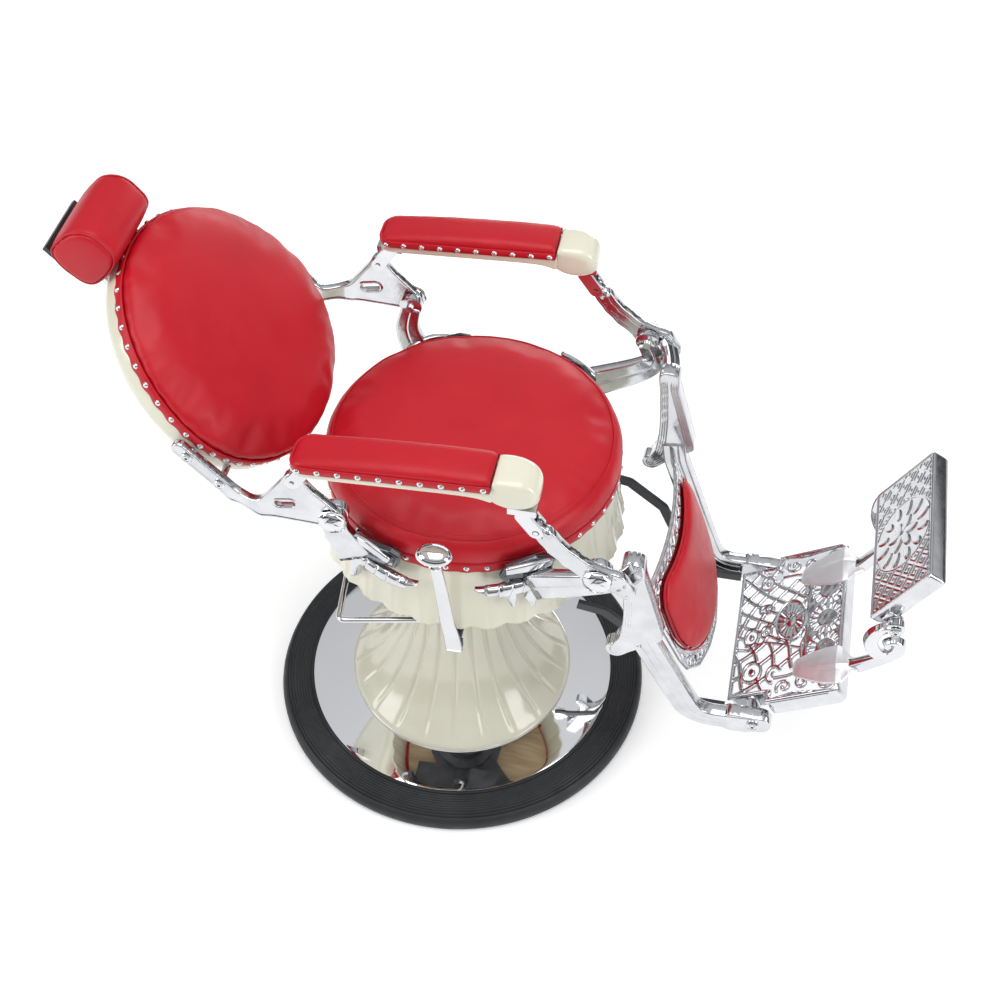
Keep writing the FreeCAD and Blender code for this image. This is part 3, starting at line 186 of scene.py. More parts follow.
class Surface:
    """A Principled material that is put together one layer at a time."""

    def __init__(self, name, colour, roughness, metallic=0.0, **sockets):
        self.material = bpy.data.materials.new(name)
        self.material.use_nodes = True
        self.nodes = self.material.node_tree.nodes
        self.links = self.material.node_tree.links
        self.shader = self.nodes["Principled BSDF"]
        self.place = self.nodes.new("ShaderNodeTexCoord").outputs["Object"]
        self.set("Base Color", (*colour, 1))
        self.set("Roughness", roughness)
        self.set("Metallic", metallic)
        for socket, value in sockets.items():
            self.set(socket.replace("_", " "), value)
        self.normal = None

    def set(self, socket, value):
        self.shader.inputs[socket].default_value = value

    def noise(self, scale, detail=3.0, stretch=None):
        node = self.nodes.new("ShaderNodeTexNoise")
        node.inputs["Scale"].default_value = scale
        node.inputs["Detail"].default_value = detail
        self.links.new(self.stretched(stretch), node.inputs["Vector"])
        return node.outputs["Fac"]

    def stretched(self, stretch):
        if stretch is None:
            return self.place
        node = self.nodes.new("ShaderNodeMapping")
        node.inputs["Scale"].default_value = stretch
        self.links.new(self.place, node.inputs["Vector"])
        return node.outputs["Vector"]

    def cells(self, scale, feature="F1"):
        node = self.nodes.new("ShaderNodeTexVoronoi")
        node.feature = feature
        node.inputs["Scale"].default_value = scale
        self.links.new(self.place, node.inputs["Vector"])
        return node.outputs["Distance"]

    def between(self, value, low, high, low_in=0.3, high_in=0.7):
        node = self.nodes.new("ShaderNodeMapRange")
        for socket, number in (("From Min", low_in), ("From Max", high_in), ("To Min", low),
                               ("To Max", high)):
            node.inputs[socket].default_value = number
        self.links.new(value, node.inputs["Value"])
        return node.outputs["Result"]

    def vary_colour(self, value, first, second, low=0.3, high=0.7):
        ramp = self.nodes.new("ShaderNodeValToRGB")
        ramp.color_ramp.elements[0].position = low
        ramp.color_ramp.elements[0].color = (*first, 1)
        ramp.color_ramp.elements[1].position = high
        ramp.color_ramp.elements[1].color = (*second, 1)
        self.links.new(value, ramp.inputs["Fac"])
        self.links.new(ramp.outputs["Color"], self.shader.inputs["Base Color"])

    def vary_roughness(self, value, low, high):
        self.links.new(self.between(value, low, high), self.shader.inputs["Roughness"])

    def bump(self, height, strength, distance):
        node = self.nodes.new("ShaderNodeBump")
        node.inputs["Strength"].default_value = strength
        node.inputs["Distance"].default_value = distance
        self.links.new(height, node.inputs["Height"])
        if self.normal is not None:
            self.links.new(self.normal, node.inputs["Normal"])
        self.normal = node.outputs["Normal"]
        self.links.new(self.normal, self.shader.inputs["Normal"])


def make_materials():
    made = {}

    vinyl = Surface("red_vinyl", (0.50, 0.006, 0.016), 0.42, Specular_IOR_Level=0.32, Coat_Weight=0.04,
                    Coat_Roughness=0.30)
    vinyl.vary_colour(vinyl.noise(9, 4), (0.47, 0.005, 0.014), (0.53, 0.008, 0.018))
    vinyl.vary_roughness(vinyl.noise(38, 3), 0.36, 0.46)
    vinyl.bump(vinyl.cells(900), 0.10, 0.0004)
    vinyl.bump(vinyl.noise(240, 4), 0.06, 0.0006)
    made["vinyl"] = vinyl

    thread = Surface("red_thread", (0.50, 0.010, 0.020), 0.62)
    thread.vary_colour(thread.noise(600, 2), (0.42, 0.008, 0.016), (0.56, 0.014, 0.026))
    thread.bump(thread.noise(1400, 2), 0.3, 0.0003)
    made["thread"] = thread

    chrome = Surface("chrome_plate", (0.66, 0.67, 0.69), 0.06, 1.0)
    chrome.vary_colour(chrome.noise(14, 3), (0.63, 0.64, 0.66), (0.70, 0.71, 0.73))
    chrome.vary_roughness(chrome.noise(55, 4), 0.045, 0.095)
    chrome.bump(chrome.noise(70, 2), 0.05, 0.0006)
    made["chrome"] = chrome

    cast = Surface("cast_chrome", (0.62, 0.63, 0.65), 0.12, 1.0)
    cast.vary_colour(cast.noise(30, 4), (0.56, 0.57, 0.59), (0.67, 0.68, 0.70))
    cast.vary_roughness(cast.noise(90, 4), 0.09, 0.20)
    cast.bump(cast.noise(260, 3), 0.12, 0.0008)
    made["cast_chrome"] = cast

    satin = Surface("satin_chrome", (0.76, 0.77, 0.79), 0.38, 0.74)
    satin.vary_colour(satin.noise(30, 4), (0.72, 0.73, 0.75), (0.80, 0.81, 0.83))
    satin.vary_roughness(satin.noise(90, 4), 0.32, 0.46)
    satin.bump(satin.noise(260, 3), 0.10, 0.0008)
    made["satin"] = satin

    mirror = Surface("mirror_sheet", (0.83, 0.84, 0.86), 0.03, 1.0)
    mirror.vary_colour(mirror.noise(6, 2), (0.81, 0.82, 0.84), (0.85, 0.86, 0.88))
    mirror.vary_roughness(mirror.noise(24, 3), 0.02, 0.05)
    made["mirror"] = mirror

    # Near-black chrome: painted shade and painted dark reflection for the hollow pans of the seat
    # mouldings, which lie in shadow.
    smoked = Surface("painted_shade_chrome", (0.11, 0.115, 0.125), 0.10, 1.0)
    smoked.vary_colour(smoked.noise(30, 3), (0.08, 0.085, 0.095), (0.17, 0.175, 0.185))
    smoked.vary_roughness(smoked.noise(90, 3), 0.07, 0.18)
    smoked.bump(smoked.noise(260, 3), 0.12, 0.0008)
    made["smoked"] = smoked

    enamel = Surface("ivory_enamel", (0.74, 0.72, 0.58), 0.16, Specular_IOR_Level=0.55, Coat_Weight=0.6,
                     Coat_Roughness=0.06)
    enamel.vary_colour(enamel.noise(7, 3), (0.715, 0.695, 0.555), (0.765, 0.745, 0.605))
    enamel.vary_roughness(enamel.noise(60, 3), 0.13, 0.22)
    enamel.bump(enamel.noise(130, 2), 0.05, 0.0008)
    made["enamel"] = enamel

    rubber = Surface("black_rubber", (0.016, 0.017, 0.019), 0.52, Specular_IOR_Level=0.4)
    rubber.vary_colour(rubber.noise(12, 5), (0.012, 0.013, 0.015), (0.026, 0.028, 0.031))
    rubber.vary_roughness(rubber.noise(40, 5), 0.38, 0.60)
    rubber.bump(rubber.noise(420, 3), 0.15, 0.0005)
    made["rubber"] = rubber

    black = Surface("black_powder_coat", (0.022, 0.023, 0.026), 0.34, Specular_IOR_Level=0.5)
    black.vary_colour(black.noise(20, 3), (0.018, 0.019, 0.022), (0.030, 0.031, 0.035))
    black.vary_roughness(black.noise(80, 3), 0.28, 0.42)
    black.bump(black.noise(700, 2), 0.10, 0.0003)
    made["black_steel"] = black

    iron = Surface("painted_casting", (0.05, 0.05, 0.055), 0.55, 0.1)
    iron.vary_colour(iron.noise(25, 5), (0.035, 0.035, 0.04), (0.07, 0.07, 0.075))
    iron.vary_roughness(iron.noise(60, 4), 0.45, 0.70)
    iron.bump(iron.noise(300, 5), 0.5, 0.0012)
    made["iron"] = iron

    steel = Surface("turned_steel", (0.55, 0.56, 0.57), 0.28, 1.0)
    steel.vary_colour(steel.noise(18, 3), (0.50, 0.51, 0.52), (0.60, 0.61, 0.62))
    steel.vary_roughness(steel.noise(1.0, 4, (20, 20, 1400)), 0.22, 0.38)
    steel.bump(steel.noise(1.0, 2, (10, 10, 1800)), 0.15, 0.0003)
    made["steel"] = steel

    wood = Surface("birch_plywood", (0.52, 0.37, 0.21), 0.62)
    wood.vary_colour(wood.noise(1.0, 5, (9, 80, 260)), (0.42, 0.29, 0.16), (0.62, 0.46, 0.28))
    wood.vary_roughness(wood.noise(50, 3), 0.55, 0.75)
    wood.bump(wood.noise(1.0, 4, (12, 160, 400)), 0.3, 0.0005)
    made["wood"] = wood
    return {name: surface.material for name, surface in made.items()}


# ---------------------------------------------------------------- mesh tools

def lean_frame(origin, lean):
    """Local X is +Y, local Y leans back from upright, local Z faces forward."""
    angle = math.radians(lean)
    across = Vector((0, 1, 0))
    up = Vector((-math.sin(angle), 0, math.cos(angle)))
    front = Vector((math.cos(angle), 0, math.sin(angle)))
    turn = Matrix((across, up, front)).transposed().to_4x4()
    return Matrix.Translation(origin) @ turn


def new_object(name, points, faces, smooth=True):
    """A mesh object from points in millimetres."""
    mesh = bpy.data.meshes.new(name)
    mesh.from_pydata([Vector(p) * MM for p in points], [], faces)
    mesh.validate()
    mesh.update()
    if smooth:
        mesh.shade_smooth()
    thing = bpy.data.objects.new(name, mesh)
    bpy.context.scene.collection.objects.link(thing)
    return thing


def fix_normals(thing):
    mesh = bmesh.new()
    mesh.from_mesh(thing.data)
    bmesh.ops.recalc_face_normals(mesh, faces=mesh.faces)
    mesh.to_mesh(thing.data)
    mesh.free()


def bake_modifiers(thing):
    """Replaces the mesh by what its modifiers make of it."""
    graph = bpy.context.evaluated_depsgraph_get()
    graph.update()
    mesh = bpy.data.meshes.new_from_object(thing.evaluated_get(graph))
    thing.modifiers.clear()
    thing.data = mesh
    return thing


def sharp_by_angle(thing, degrees=35):
    """Smooth shading that keeps the edges sharper than the angle."""
    thing.data.set_sharp_from_angle(angle=math.radians(degrees))


def soften_edges(thing, width, segments=2, angle=35):
    bevel = thing.modifiers.new("bevel", "BEVEL")
    bevel.width = width * MM
    bevel.segments = segments
    bevel.limit_method = "ANGLE"
    bevel.angle_limit = math.radians(angle)
    bevel.harden_normals = False
    bake_modifiers(thing)
    thing.data.shade_smooth()
    sharp_by_angle(thing, 40)
    return thing


def dress(thing, material, body, slot, *replaced):
    """Gives a piece its material and its body, and hides the CAD nodes that it stands for; the slot is not
    used.
    """
    thing.data.materials.clear()
    thing.data.materials.append(material)
    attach(thing, body)
    if replaced:
        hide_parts(*replaced)
    return thing


def joined(name, things):
    """One object from several."""
    bpy.ops.object.select_all(action="DESELECT")
    for thing in things:
        thing.select_set(True)
    bpy.context.view_layer.objects.active = things[0]
    bpy.ops.object.join()
    things[0].name = name
    things[0].data.name = name
    return things[0]


def grid_faces(rows, columns, wrap_rows=False, wrap_columns=False, first=0):
    faces = []
    for i in range(rows if wrap_rows else rows - 1):
        for j in range(columns if wrap_columns else columns - 1):
            a, b = i * columns, ((i + 1) % rows) * columns
            k = (j + 1) % columns
            faces.append((first + a + j, first + a + k, first + b + k, first + b + j))
    return faces


def skin(name, rings, wrap_rows=False, wrap_columns=True, caps=True, transform=None):
    """A surface through rings of points, closed at its first and last ring."""
    rings = [[Vector(p) for p in ring] for ring in rings]
    columns = len(rings[0])
    points = [p for ring in rings for p in ring]
    faces = grid_faces(len(rings), columns, wrap_rows, wrap_columns)
    if caps and not wrap_rows:
        faces.append(tuple(reversed(range(columns))))
        last = (len(rings) - 1) * columns
        faces.append(tuple(range(last, last + columns)))
    if transform is not None:
        points = [transform @ p for p in points]
    thing = new_object(name, points, faces)
    fix_normals(thing)
    return thing


def smooth_curve(points, steps, closed=False):
    """Points along a Catmull-Rom curve through the given ones."""
    points = [Vector(p) for p in points]
    count = len(points)
    made = []
    for i in range(count if closed else count - 1):
        if closed:
            before, start, stop, after = (points[(i + k) % count] for k in (-1, 0, 1, 2))
        else:
            start, stop = points[i], points[i + 1]
            before = points[i - 1] if i else start * 2 - stop
            after = points[i + 2] if i + 2 < count else stop * 2 - start
        for k in range(steps):
            t = k / steps
            made.append(0.5 * (
                2 * start + (stop - before) * t + (2 * before - 5 * start + 4 * stop - after) * t * t
                + (3 * start - before - 3 * stop + after) * t ** 3))
    if not closed:
        made.append(points[-1])
    return made


def turned(name, profile, segments=192, centre=(0, 0), shape=None, closed=True):
    """A turned piece. Its profile is (radius, height) pairs, and shape(angle, radius, height, index)
    may move each point and return its new radius and height."""
    rings = []
    for index, (radius, height) in enumerate(profile):
        ring = []
        for k in range(segments):
            angle = 2 * math.pi * k / segments
            r, z = shape(angle, radius, height, index) if shape else (radius, height)
            ring.append((centre[0] + r * math.cos(angle), centre[1] + r * math.sin(angle), z))
        rings.append(ring)
    return skin(name, rings, wrap_rows=closed, caps=False)


def rounded_profile(corners, radius, steps=4):
    """A closed profile whose corners are rounded."""
    made = []
    count = len(corners)
    for i, corner in enumerate(corners):
        here = Vector(corner).to_2d()
        before = Vector(corners[i - 1]).to_2d() - here
        after = Vector(corners[(i + 1) % count]).to_2d() - here
        reach = min(radius, before.length * 0.45, after.length * 0.45)
        start, stop = here + before.normalized() * reach, here + after.normalized() * reach
        for k in range(steps + 1):
            t = k / steps
            made.append(tuple(start * (1 - t) ** 2 + here * 2 * t * (1 - t) + stop * t * t))
    return made


def rounded_bar(half_wide, half_tall, radius, steps):
    """The section of a flat bar with rounded corners."""
    corners = [(-half_wide, -half_tall), (half_wide, -half_tall), (half_wide, half_tall),
               (-half_wide, half_tall)]
    return rounded_profile(corners, radius, steps)


def path_frames(path, across):
    """The direction and two normals at each point of a path; the first stays near across."""
    frames = []
    side = Vector(across)
    for i, here in enumerate(path):
        ahead = (path[min(i + 1, len(path) - 1)] - path[max(i - 1, 0)]).normalized()
        side = (side - ahead * side.dot(ahead)).normalized()
        frames.append((here, side.copy(), ahead.cross(side)))
    return frames


def swept(name, path, section, across=(0, 1, 0), scale=None, caps=True, closed=False):
    """Moves a section along a path. scale(t) gives the section's two sizes at t from 0 to 1."""
    path = [Vector(p) for p in path]
    rings = []
    for i, (here, side, normal) in enumerate(path_frames(path, across)):
        wide, tall = scale(i / (len(path) - 1)) if scale else (1, 1)
        rings.append([here + side * (u * wide) + normal * (v * tall) for u, v in section])
    return skin(name, rings, caps=caps, wrap_rows=closed)


def circle(radius, count=12):
    return [(radius * math.cos(2 * math.pi * k / count), radius * math.sin(2 * math.pi * k / count))
            for k in range(count)]


def tube(name, path, radius, count=12, closed=False):
    path = [Vector(p) for p in path]
    if closed:
        rings = []
        total = len(path)
        side = Vector((0.3, 0.2, 1))
        for i, here in enumerate(path):
            ahead = (path[(i + 1) % total] - path[i - 1]).normalized()
            side = (side - ahead * side.dot(ahead)).normalized()
            normal = ahead.cross(side)
            rings.append([here + side * u + normal * v for u, v in circle(radius, count)])
        return skin(name, rings, wrap_rows=True, caps=False)
    return swept(name, path, circle(radius, count), across=(0.3, 0.9, 0.2))


# ---------------------------------------------------------------- upholstery

def vertex_array(thing):
    places = np.empty(len(thing.data.vertices) * 3)
    thing.data.vertices.foreach_get("co", places)
    return places.reshape(-1, 3)


def set_vertices(thing, places):
    thing.data.vertices.foreach_set("co", places.ravel())
    thing.data.update()


def into(space, points):
    """An array of points as a frame's own coordinates."""
    inverse = np.array(space.inverted())
    return points @ inverse[:3, :3].T + inverse[:3, 3]


def inflate(thing, voxel, pinned, pressure=4.0, cap=10.0):
    """Sews the shape as cloth, fills it under pressure, and keeps each point within the cap.
    pinned(points) gives how firmly each point is held, from 0 to 1."""
    remesh = thing.modifiers.new("remesh", "REMESH")
    remesh.mode = "VOXEL"
    remesh.voxel_size = voxel * MM
    bake_modifiers(thing)
    start = vertex_array(thing)
    held = np.clip(pinned(start / MM), 0, 1)
    group = thing.vertex_groups.new(name="held")
    for index, weight in enumerate(held):
        if weight > 0.01:
            group.add([index], float(weight), "REPLACE")
    cloth = thing.modifiers.new("cloth", "CLOTH")
    cloth.settings.quality = 4
    cloth.settings.mass = 0.25
    cloth.settings.tension_stiffness = 30
    cloth.settings.compression_stiffness = 30
    cloth.settings.shear_stiffness = 12
    cloth.settings.bending_stiffness = 6.0
    cloth.settings.use_pressure = True
    cloth.settings.uniform_pressure_force = pressure
    cloth.settings.effector_weights.gravity = 0
    cloth.settings.vertex_group_mass = "held"
    cloth.collision_settings.use_collision = False
    scene = bpy.context.scene
    cloth.point_cache.frame_start = 1
    cloth.point_cache.frame_end = 20
    for number in range(1, 21):
        scene.frame_set(number)
    bake_modifiers(thing)
    scene.frame_set(1)
    moved = vertex_array(thing) - start
    far = np.linalg.norm(moved, axis=1)
    share = np.minimum(1, cap * MM / np.maximum(far, 1e-9))
    set_vertices(thing, start + moved * share[:, None])
    smooth = thing.modifiers.new("smooth", "SMOOTH")
    smooth.factor = 0.5
    smooth.iterations = 18
    fine = thing.modifiers.new("fine", "SUBSURF")
    fine.levels = 1
    bake_modifiers(thing)
    thing.vertex_groups.clear()
    thing.data.shade_smooth()
    return thing


def press(thing, spots, depth, reach):
    """Pulls the skin in round each spot. A spot is a place and the way out of the skin."""
    places = vertex_array(thing) / MM
    for place, outward in spots:
        gap = np.linalg.norm(places - np.array(place), axis=1)
        near = gap < reach * 2.5
        pull = depth * np.exp(-(gap[near] / reach) ** 2)
        places[near] -= pull[:, None] * np.array(outward)
    set_vertices(thing, places * MM)


def crease(thing, path, depth, reach):
    """A narrow valley along a path, cut along the skin's own normals."""
    places = vertex_array(thing)
    normals = np.empty(len(places) * 3)
    thing.data.vertex_normals.foreach_get("vector", normals)
    normals = normals.reshape(-1, 3)
    line = np.array([list(p) for p in path]) * MM
    gap = np.full(len(places), 1e9)
    for place in line:
        gap = np.minimum(gap, np.linalg.norm(places - place, axis=1))
    pull = depth * MM * np.exp(-(gap / (reach * MM)) ** 2)
    set_vertices(thing, places - normals * pull[:, None])


def onto_skin(thing, starts, ways, lift=0.0):
    """Where rays from the starts meet the piece, lifted off its skin."""
    graph = bpy.context.evaluated_depsgraph_get()
    tree = BVHTree.FromObject(thing, graph)
    found = []
    for start, way in zip(starts, ways):
        way = Vector(way).normalized()
        hit, normal, _, _ = tree.ray_cast(Vector(start) * MM, way)
        if hit is not None:
            found.append(hit / MM + normal * lift)
    return found


def stitches(name, path, length=3.2, gap=1.6, radius=0.45):
    """A row of thread stitches along a closed path."""
    points = [Vector(p) for p in path]
    loop = points + [points[0]]
    reach = [0.0]
    for a, b in zip(loop, loop[1:]):
        reach.append(reach[-1] + (b - a).length)
    count = int(reach[-1] / (length + gap))
    along = np.array([list(p) for p in loop])

    def at(distance):
        return Vector([float(np.interp(distance % reach[-1], reach, along[:, axis])) for axis in range(3)])

    verts, faces = [], []
    for k in range(count):
        begin = k * reach[-1] / count
        a, b = at(begin), at(begin + length)
        ahead = (b - a).normalized()
        side = ahead.cross(Vector((0.31, 0.17, 0.93))).normalized()
        normal = ahead.cross(side)
        base = len(verts)
        for share, thick in ((0.0, 0.35), (0.25, 1.0), (0.75, 1.0), (1.0, 0.35)):
            for u, v in circle(radius * thick, 5):
                verts.append(a.lerp(b, share) + side * u + normal * v)
        faces += grid_faces(4, 5, wrap_columns=True, first=base)
    return new_object(name, verts, faces)


def nails(name, spots, material, body, replaced):
    """Domed nails with a thin flange."""
    profile = ((4.7, -0.4), (4.8, 0.2), (4.4, 0.5), (4.1, 0.6), (3.7, 1.4), (2.8, 2.2), (1.5, 2.7),
               (0.0, 2.9))
    count = 16
    verts, faces = [], []
    for place, outward in spots:
        place, out = Vector(place), Vector(outward).normalized()
        side = out.orthogonal().normalized()
        normal = out.cross(side)
        base = len(verts)
        for radius, height in profile[:-1]:
            for u, v in circle(radius, count):
                verts.append(place + out * height + side * u + normal * v)
        verts.append(place + out * profile[-1][1])
        faces += grid_faces(len(profile) - 1, count, wrap_columns=True, first=base)
        last = base + (len(profile) - 2) * count
        faces += [(last + k, last + (k + 1) % count, len(verts) - 1) for k in range(count)]
        faces.append(tuple(base + k for k in reversed(range(count))))
    thing = new_object(name, verts, faces)
    dress(thing, material, body, "chrome", replaced)
    return thing


def seat_ring(radius, height, count=240):
    return [Vector((SEAT_X + radius * math.cos(2 * math.pi * k / count),
                    radius * math.sin(2 * math.pi * k / count), height)) for k in range(count)]


def make_seat_cushion():
    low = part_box("seat_cushion")[0].z / MM
    profile = [(0.5, low), (120, low), (234, low), (240.5, low + 3), (242, low + 8), (243, low + 14),
               (245.5, low + 24), (247.5, low + 36), (247, low + 48), (242, low + 59),
               (232, SEAM_HEIGHT - 1), (215, SEAM_HEIGHT + 4), (180, SEAM_HEIGHT + 7.5),
               (130, SEAM_HEIGHT + 10), (70, SEAM_HEIGHT + 11.5), (0.5, SEAM_HEIGHT + 12)]
    cushion = turned("seat_cushion_vinyl", profile, 120, (SEAT_X, 0), closed=False)

    def held(points):
        seam = (np.hypot(points[:, 0] - SEAT_X, points[:, 1]) - SEAM_RADIUS) / 6
        crown = points[:, 2] > SEAM_HEIGHT - 9
        return (low + 17 - points[:, 2]) / 4 + 0.9 * np.exp(-seam ** 2) * crown

    inflate(cushion, 6, held, cap=6)
    count = 47
    spots = []
    for index in range(count):
        angle = 2 * math.pi * (index + 0.5) / count
        outward = Vector((math.cos(angle), math.sin(angle), 0))
        spots.append((Vector((SEAT_X, 0, SEAT_NAIL_HEIGHT)) + outward * SEAT_NAIL_RADIUS, outward))
    press(cushion, spots, 1.6, 9)
    crease(cushion, seat_ring(SEAT_NAIL_RADIUS + 1.5, SEAT_NAIL_HEIGHT + 12), 1.6, 3)
    ring = seat_ring(SEAM_RADIUS + 1, CROWN_HEIGHT + 60)
    seam = onto_skin(cushion, ring, [(0, 0, -1)] * len(ring), 0.4)
    crease(cushion, seam, 1.0, 2.6)
    dress(cushion, MATERIALS["vinyl"], "seat", "red_vinyl", "seat_cushion")
    welt = tube("seat_cushion_welt", seam, 1.1, 8, closed=True)
    dress(welt, MATERIALS["vinyl"], "seat", "red_vinyl")
    inner = onto_skin(cushion, seat_ring(SEAM_RADIUS - 5, CROWN_HEIGHT + 60), [(0, 0, -1)] * len(ring), 0.2)
    row = stitches("seat_cushion_stitches", inner)
    dress(row, MATERIALS["thread"], "seat", "red_vinyl")

    def scalloped(angle, radius, height, index):
        return radius, height + (1.1 * math.cos(count * angle) if index < 3 else 0)

    edge = [(-3, 1), (0.3, -0.6), (1.6, 1.5), (1.2, 9), (1.7, 16.5), (0.6, 19), (-3, 18)]
    profile = [(SEAT_NAIL_RADIUS + out, low + rise) for out, rise in edge]
    band = turned("seat_nail_band", profile, 376, (SEAT_X, 0), scalloped)
    dress(band, MATERIALS["vinyl"], "seat", "red_vinyl")
    proud = [(place + outward * 1.2, outward) for place, outward in spots]
    nails("seat_nail_heads", proud, MATERIALS["chrome"], "seat", "seat_nails")


def egg(angle, scale=1.0, inset=0.0):
    """The outline of the back at an angle, and the way out of it."""
    half, rise, drop = BACK_SIZE
    tall = rise if math.sin(angle) > 0 else drop
    spot = Vector((half * math.cos(angle), tall * math.sin(angle), 0))
    outward = Vector((spot.x / half ** 2, spot.y / tall ** 2, 0)).normalized()
    return spot * scale - outward * inset, outward


def egg_rings(levels, count=120):
    """Rings of the back's outline. A level is a height, a scale and an inset."""
    rings = []
    for height, scale, inset in levels:
        ring = []
        for k in range(count):
            spot, _ = egg(2 * math.pi * k / count, scale, inset)
            ring.append((spot.x, spot.y, height))
        rings.append(ring)
    return rings


def smooth_levels(levels, steps=4):
    return [tuple(p) for p in smooth_curve(levels, steps)]


def make_back():
    space = lean_frame(BACK_CENTRE, BACK_LEAN)
    levels = [(1, 0.02, 0), (1, 0.5, 0), (1, 0.955, 0), (3, 0.98, 0), (8, 0.985, 0), (14, 0.995, 0),
              (21, 1.018, 0), (28, 1.012, 0), (35, 0.965, 0), (41, 0.87, 0), (46, 0.70, 0),
              (48.5, 0.45, 0), (49.5, 0.2, 0), (49.8, 0.02, 0)]
    cushion = skin("back_cushion_vinyl", egg_rings(smooth_levels(levels, 3)), transform=space)

    def held(points):
        local = into(space, points)
        return (15 - local[:, 2]) / 4

    inflate(cushion, 6, held, cap=8)
    count = 46
    turn = space.to_3x3()
    spots = []
    for index in range(count):
        spot, outward = egg(2 * math.pi * (index + 0.5) / count)
        place = space @ (spot + outward * 1.5 + Vector((0, 0, 5.5)))
        spots.append((place, turn @ outward))
    press(cushion, [(place + turn @ Vector((0, 0, 9)), outward) for place, outward in spots], 1.8, 10)
    line = [space @ (egg(2 * math.pi * k / 400)[0] * 1.0 + Vector((0, 0, 14))) for k in range(400)]
    crease(cushion, line, 1.5, 3)
    dress(cushion, MATERIALS["vinyl"], "back", "red_vinyl", "back_cushion")

    rows = []
    for height, out in ((13.5, -3), (14.5, 0.2), (12.5, 1.5), (5.5, 1.1), (-0.5, 1.4), (-2.2, 0.5),
                        (-1.5, -3)):
        ring = []
        for k in range(368):
            angle = 2 * math.pi * k / 368
            spot, outward = egg(angle)
            wave = 1.6 * math.cos(count * angle) if height < 0 else 0
            ring.append(space @ (spot + outward * out + Vector((0, 0, height + wave))))
        rows.append(ring)
    band = skin("back_nail_band", rows, wrap_rows=True)
    dress(band, MATERIALS["vinyl"], "back", "red_vinyl")
    nails("back_nail_heads", spots, MATERIALS["chrome"], "back", "back_nails")

    depth = 50
    outside = smooth_levels([(-2, 1, 0), (-14, 1, 0), (-27, 0.994, 0), (-38, 0.958, 0), (-45, 0.885, 0),
                             (-49, 0.76, 0), (-depth, 0.6, 0), (-depth, 0.3, 0)])
    levels = [(-2.5, 1, 3), (-0.4, 1, 2.4), (0, 1, 1.2), (-0.6, 1, 0.2)] + outside + [(-depth, 0.02, 0)]
    shell = skin("back_shell_enamel", egg_rings(levels, 180), transform=space)
    dress(shell, MATERIALS["enamel"], "back", "ivory_enamel", "back_shell")


def make_headrest():
    space = lean_frame(HEAD_CENTRE, HEAD_LEAN)
    half = 76
    corners = [(-48, -44), (10, -52), (44, -42), (49, 20), (24, 52), (-34, 50), (-47, 10)]
    section = rounded_profile(corners, 40, 8)

    def ring_at(x, scale):
        return [(x, u * scale, v * scale) for u, v in section]

    stations = [(-half, 0.3), (-half, 0.80), (-half + 2.5, 0.90), (-half + 7, 0.945), (-half + 16, 0.955),
                (-50, 0.965), (0, 0.97), (50, 0.965), (half - 16, 0.955), (half - 7, 0.945),
                (half - 2.5, 0.90), (half, 0.80), (half, 0.3)]
    pillow = skin("headrest_vinyl", [ring_at(*station) for station in stations], transform=space)

    def held(points):
        local = into(space, points)
        return (-27 - local[:, 2]) / 2

    inflate(pillow, 4, held, cap=4)
    turn = space.to_3x3()
    seams = []
    for way in (-1, 1):
        starts = [space @ Vector((way * (half - 5.5), u * 2, v * 2)) for u, v in section]
        ways = [turn @ Vector((0, -u, -v)) for u, v in section]
        seam = onto_skin(pillow, starts, ways, 0.3)
        crease(pillow, smooth_curve(seam, 2, True), 1.6, 3.2)
        seams.append(seam)
    dress(pillow, MATERIALS["vinyl"], "headrest", "red_vinyl", "headrest_cushion")
    welts = [tube("headrest_welt", smooth_curve(seam, 3, True), 1.7, 8, closed=True) for seam in seams]
    dress(joined("headrest_welts", welts), MATERIALS["vinyl"], "headrest", "red_vinyl")


def box_section(low, high, half, middle, radius, top_radius, steps=4):
    """A rounded upright rectangle across the armrest."""
    corners = [(middle - half, low), (middle + half, low), (middle + half, high), (middle - half, high)]
    made = []
    for i, corner in enumerate(corners):
        reach = radius if i < 2 else top_radius
        here = Vector(corner)
        before = (Vector(corners[i - 1]) - here).normalized()
        after = (Vector(corners[(i + 1) % 4]) - here).normalized()
        start, stop = here + before * reach, here + after * reach
        for k in range(steps + 1):
            t = k / steps
            made.append(start * (1 - t) ** 2 + here * 2 * t * (1 - t) + stop * t * t)
    return made


def arm_floor(x):
    """Height of the pad's underside along the armrest."""
    return 862.3 + (x + 170) * 0.0603


